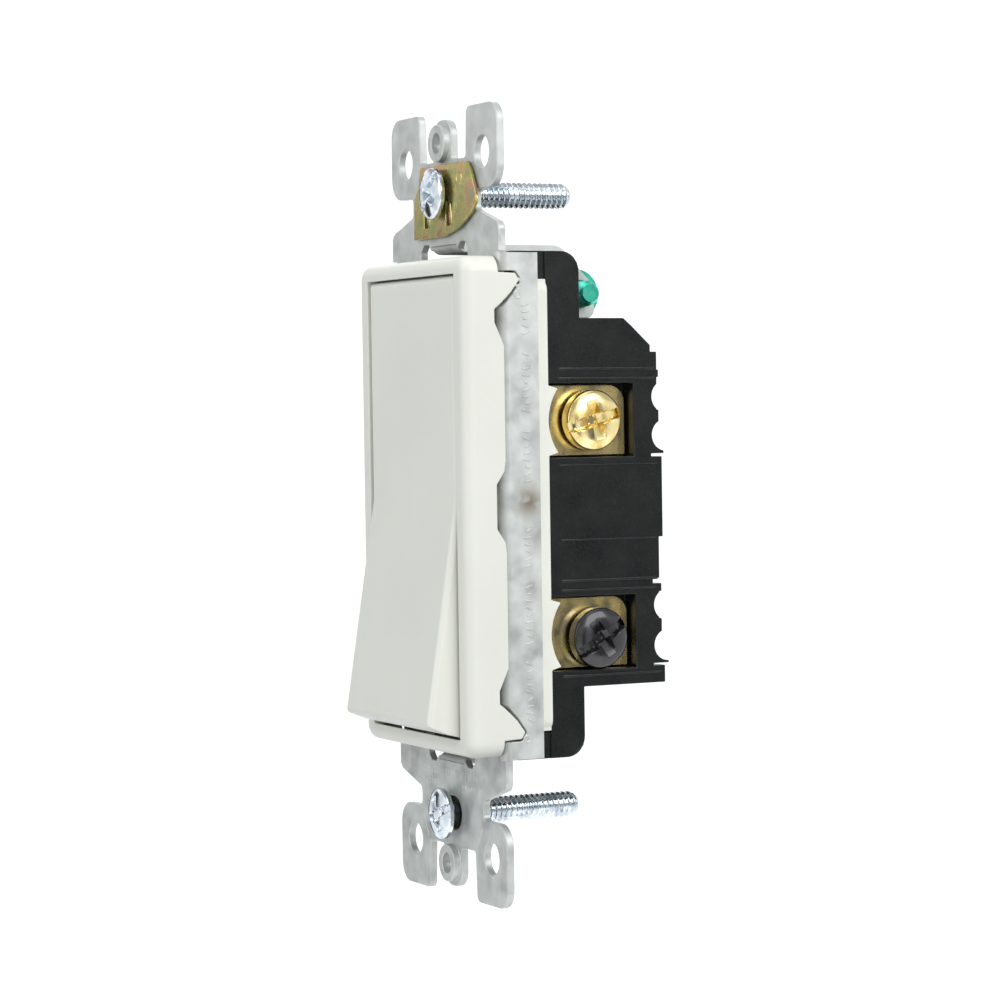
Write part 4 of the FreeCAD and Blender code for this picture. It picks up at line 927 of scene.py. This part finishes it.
def raised_strips(name, node, strips, rows=9, columns=9):
    """Ridges on a flat skin, each given by start, end, outward direction, width and height.

    Along the ridge u runs from 0 to 1 and across it v runs from -1 to 1. The lift is the
    height times (1 - v to the fourth) times (1 - (2u - 1) to the eighth), less SUNK, so
    that the rim of every ridge lies just under the skin.
    """
    start, end, out = (np.array([strip[i] for strip in strips], float) for i in range(3))
    width, height = (np.array([strip[i] for strip in strips], float) for i in (3, 4))
    side = np.cross(out, end - start)
    side *= (width / 2 / np.linalg.norm(side, axis=1))[:, None]
    u, v = np.linspace(0, 1, rows), np.linspace(-1, 1, columns)
    lift = (1 - (2 * u[:, None] - 1) ** 8) * (1 - v[None, :] ** 4)
    points = (start[:, None, None] + u[None, :, None, None] * (end - start)[:, None, None]
              + v[None, None, :, None] * side[:, None, None]
              + (lift * height[:, None, None] - SUNK)[..., None] * out[:, None, None])
    one = grid_faces(rows, columns, wrap_columns=False)
    faces = np.concatenate([one + number * rows * columns for number in range(len(strips))])
    return finish_piece(new_piece(name, points.reshape(-1, 3), faces.tolist()), node)


def raised_rings(name, node, centres, out, radius, width, height):
    """Round ridges: v runs from -1 to 1 across the ring, and the lift is 1 - v squared."""
    out = np.array(out, float)
    first = np.cross(out, [0.0, 0.0, 1.0])
    second = np.cross(out, first)
    turn, v = np.linspace(0, 2 * math.pi, 32, endpoint=False), np.linspace(-1, 1, 7)
    far = radius + v * width / 2
    ring = ((far[:, None] * np.cos(turn))[..., None] * first
            + (far[:, None] * np.sin(turn))[..., None] * second
            + ((1 - v ** 2) * height - SUNK)[:, None, None] * out)
    points = np.concatenate([(np.array(centre, float) + ring).reshape(-1, 3)
                             for centre in centres])
    one = grid_faces(v.size, turn.size)
    faces = np.concatenate([one + number * ring.shape[0] * ring.shape[1]
                            for number in range(len(centres))])
    return finish_piece(new_piece(name, points, faces.tolist()), node)


print("ridge helpers ready")

# %% [markdown]
# ## Marks on the strap
# The flange and the foot of the strap carry stamped marks. They stand for lettering, so here
# they are plain ticks of two lengths in rows. Four slanting score lines show where the plaster
# ears snap off, and small round dimples sit near the flange's corners.

# %% Stamped marks
FRAME_OVERHANG = 0.28
FLANGE_FACE = box_mm("bezel_frame")[1][0] - FRAME_OVERHANG
STRAP_FACE = -1.05
FLANGE_TICKS = np.arange(-28.0, 26.5, 0.92)
FLANGE_GAP = (-2.5, 2.8)
FLANGE_MIDDLE = 2.7
LONG_TICK = 0.62
SHORT_TICK = 0.38
TICK_WIDTH = 0.32
# height and half-length of each row under the frame
FOOT_ROWS = ((-36.3, 0.48), (-37.9, 0.36))
FOOT_TICKS = np.arange(-8.6, 9.0, 0.86)
FOOT_GAP = 2.6


def flange_ticks():
    """A row of strokes up the right-hand flange, with gaps between groups."""
    strips = []
    for number, height in enumerate(FLANGE_TICKS):
        if number % 11 > 8 or FLANGE_GAP[0] < height < FLANGE_GAP[1]:
            continue
        reach = LONG_TICK if number % 3 else SHORT_TICK
        lean = 0.16 * ((number * 5) % 4 - 1.5)
        strips.append(((FLANGE_FACE, FLANGE_MIDDLE - reach, height - lean),
                       (FLANGE_FACE, FLANGE_MIDDLE + reach, height + lean),
                       (1, 0, 0), TICK_WIDTH, 0.15))
    return strips


def foot_ticks():
    """Two rows of strokes across the lower strap, under the frame's edge."""
    strips = []
    for row, (height, reach) in enumerate(FOOT_ROWS):
        for number, across in enumerate(FOOT_TICKS):
            if (number + row) % 7 == 6 or (row and abs(across) < FOOT_GAP):
                continue
            strips.append(((across, STRAP_FACE, height - reach),
                           (across, STRAP_FACE, height + reach), (0, -1, 0), TICK_WIDTH, 0.14))
    return strips


def score_lines():
    """The slanting line on each ear's inner corner."""
    return [((side * 9.35, STRAP_FACE, end * 42.5), (side * 7.35, STRAP_FACE, end * 45.9),
             (0, -1, 0), 0.30, 0.10) for side in (-1, 1) for end in (-1, 1)]


raised_strips("strap_marks", "mounting_strap", flange_ticks() + foot_ticks() + score_lines())
DIMPLES = [(FLANGE_FACE, 1.7, 29.2), (FLANGE_FACE, 1.6, 27.6), (FLANGE_FACE, 2.2, -30.4)]
raised_rings("strap_dimples", "mounting_strap", DIMPLES, (1, 0, 0), 0.45, 0.40, 0.12)
print(len(flange_ticks()) + len(foot_ticks()), "ticks,", len(DIMPLES), "dimples")

# %% [markdown]
# ## Lines on the body
# The mould that makes the body is in several pieces, and each joint leaves a thin line on the
# side. The lines catch the light more than the flat side does.

# %% Mould lines
BODY_SIDE = box_mm("body_housing")[1][0]
LINE_HEIGHT = 0.22
# height, front end, rear end and width, in millimetres
MOULD_LINES = ((17.9, 8.2, 23.0, 0.50), (16.65, 8.2, 23.1, 0.42), (5.2, 8.2, 23.4, 0.26),
               (-4.7, 8.2, 23.0, 0.34), (-10.1, 8.2, 22.9, 0.50), (-11.35, 8.2, 22.9, 0.42),
               (-22.7, 8.2, 23.6, 0.42))
lines = [((side * BODY_SIDE, near, height), (side * BODY_SIDE, far, height), (side, 0, 0),
          width, LINE_HEIGHT) for height, near, far, width in MOULD_LINES for side in (-1, 1)]
raised_strips("body_lines", "body_housing", lines, rows=13)
print(len(lines), "mould lines")

# %% [markdown]
# ## Prongs on the grounding clip
# Two narrow tongues are cut free inside the clip's openings and bent a little, so that they
# bite into the strap. Each leaves a dark wedge beside it. A small round ridge sits above them
# and to the right.

# %% Prongs
SCREW_HEIGHT = sum(corner[2] for corner in box_mm("box_screw_upper")) / 2
CLIP_FACE = box_mm("grounding_clip")[0][1]
PRONG_FACE = CLIP_FACE + 0.1
PRONG_PLACES = (-3.9, 2.9)
PRONG_LEAN = 0.75
prongs = [((x, PRONG_FACE, SCREW_HEIGHT - 1.0), (x + PRONG_LEAN, PRONG_FACE, SCREW_HEIGHT - 4.3),
           (0, -1, 0), 0.95, 0.12) for x in PRONG_PLACES]
raised_strips("clip_prongs", "grounding_clip", prongs)
raised_rings("clip_ring", "grounding_clip", [(6.3, CLIP_FACE, SCREW_HEIGHT + 1.7)], (0, -1, 0),
             0.75, 0.5, 0.12)
print("prongs and ring on the clip")

# %% [markdown]
# ## Parts that keep their own shape
# The spring, the plunger, the rocking bar, the contacts and the wire clamps sit deep inside,
# and their shapes are right as they are. They only take their finish.

# %% Finish the inner parts
replaced = set(ROUNDED) | {row[0] for row in BOX_SCREWS + SIDE_SCREWS}
for node, part in frame["nodes"].items():
    if node not in replaced:
        part.data.materials.clear()
        part.data.materials.append(finishes[part_slot[node]])
print(sorted(set(frame["nodes"]) - replaced))
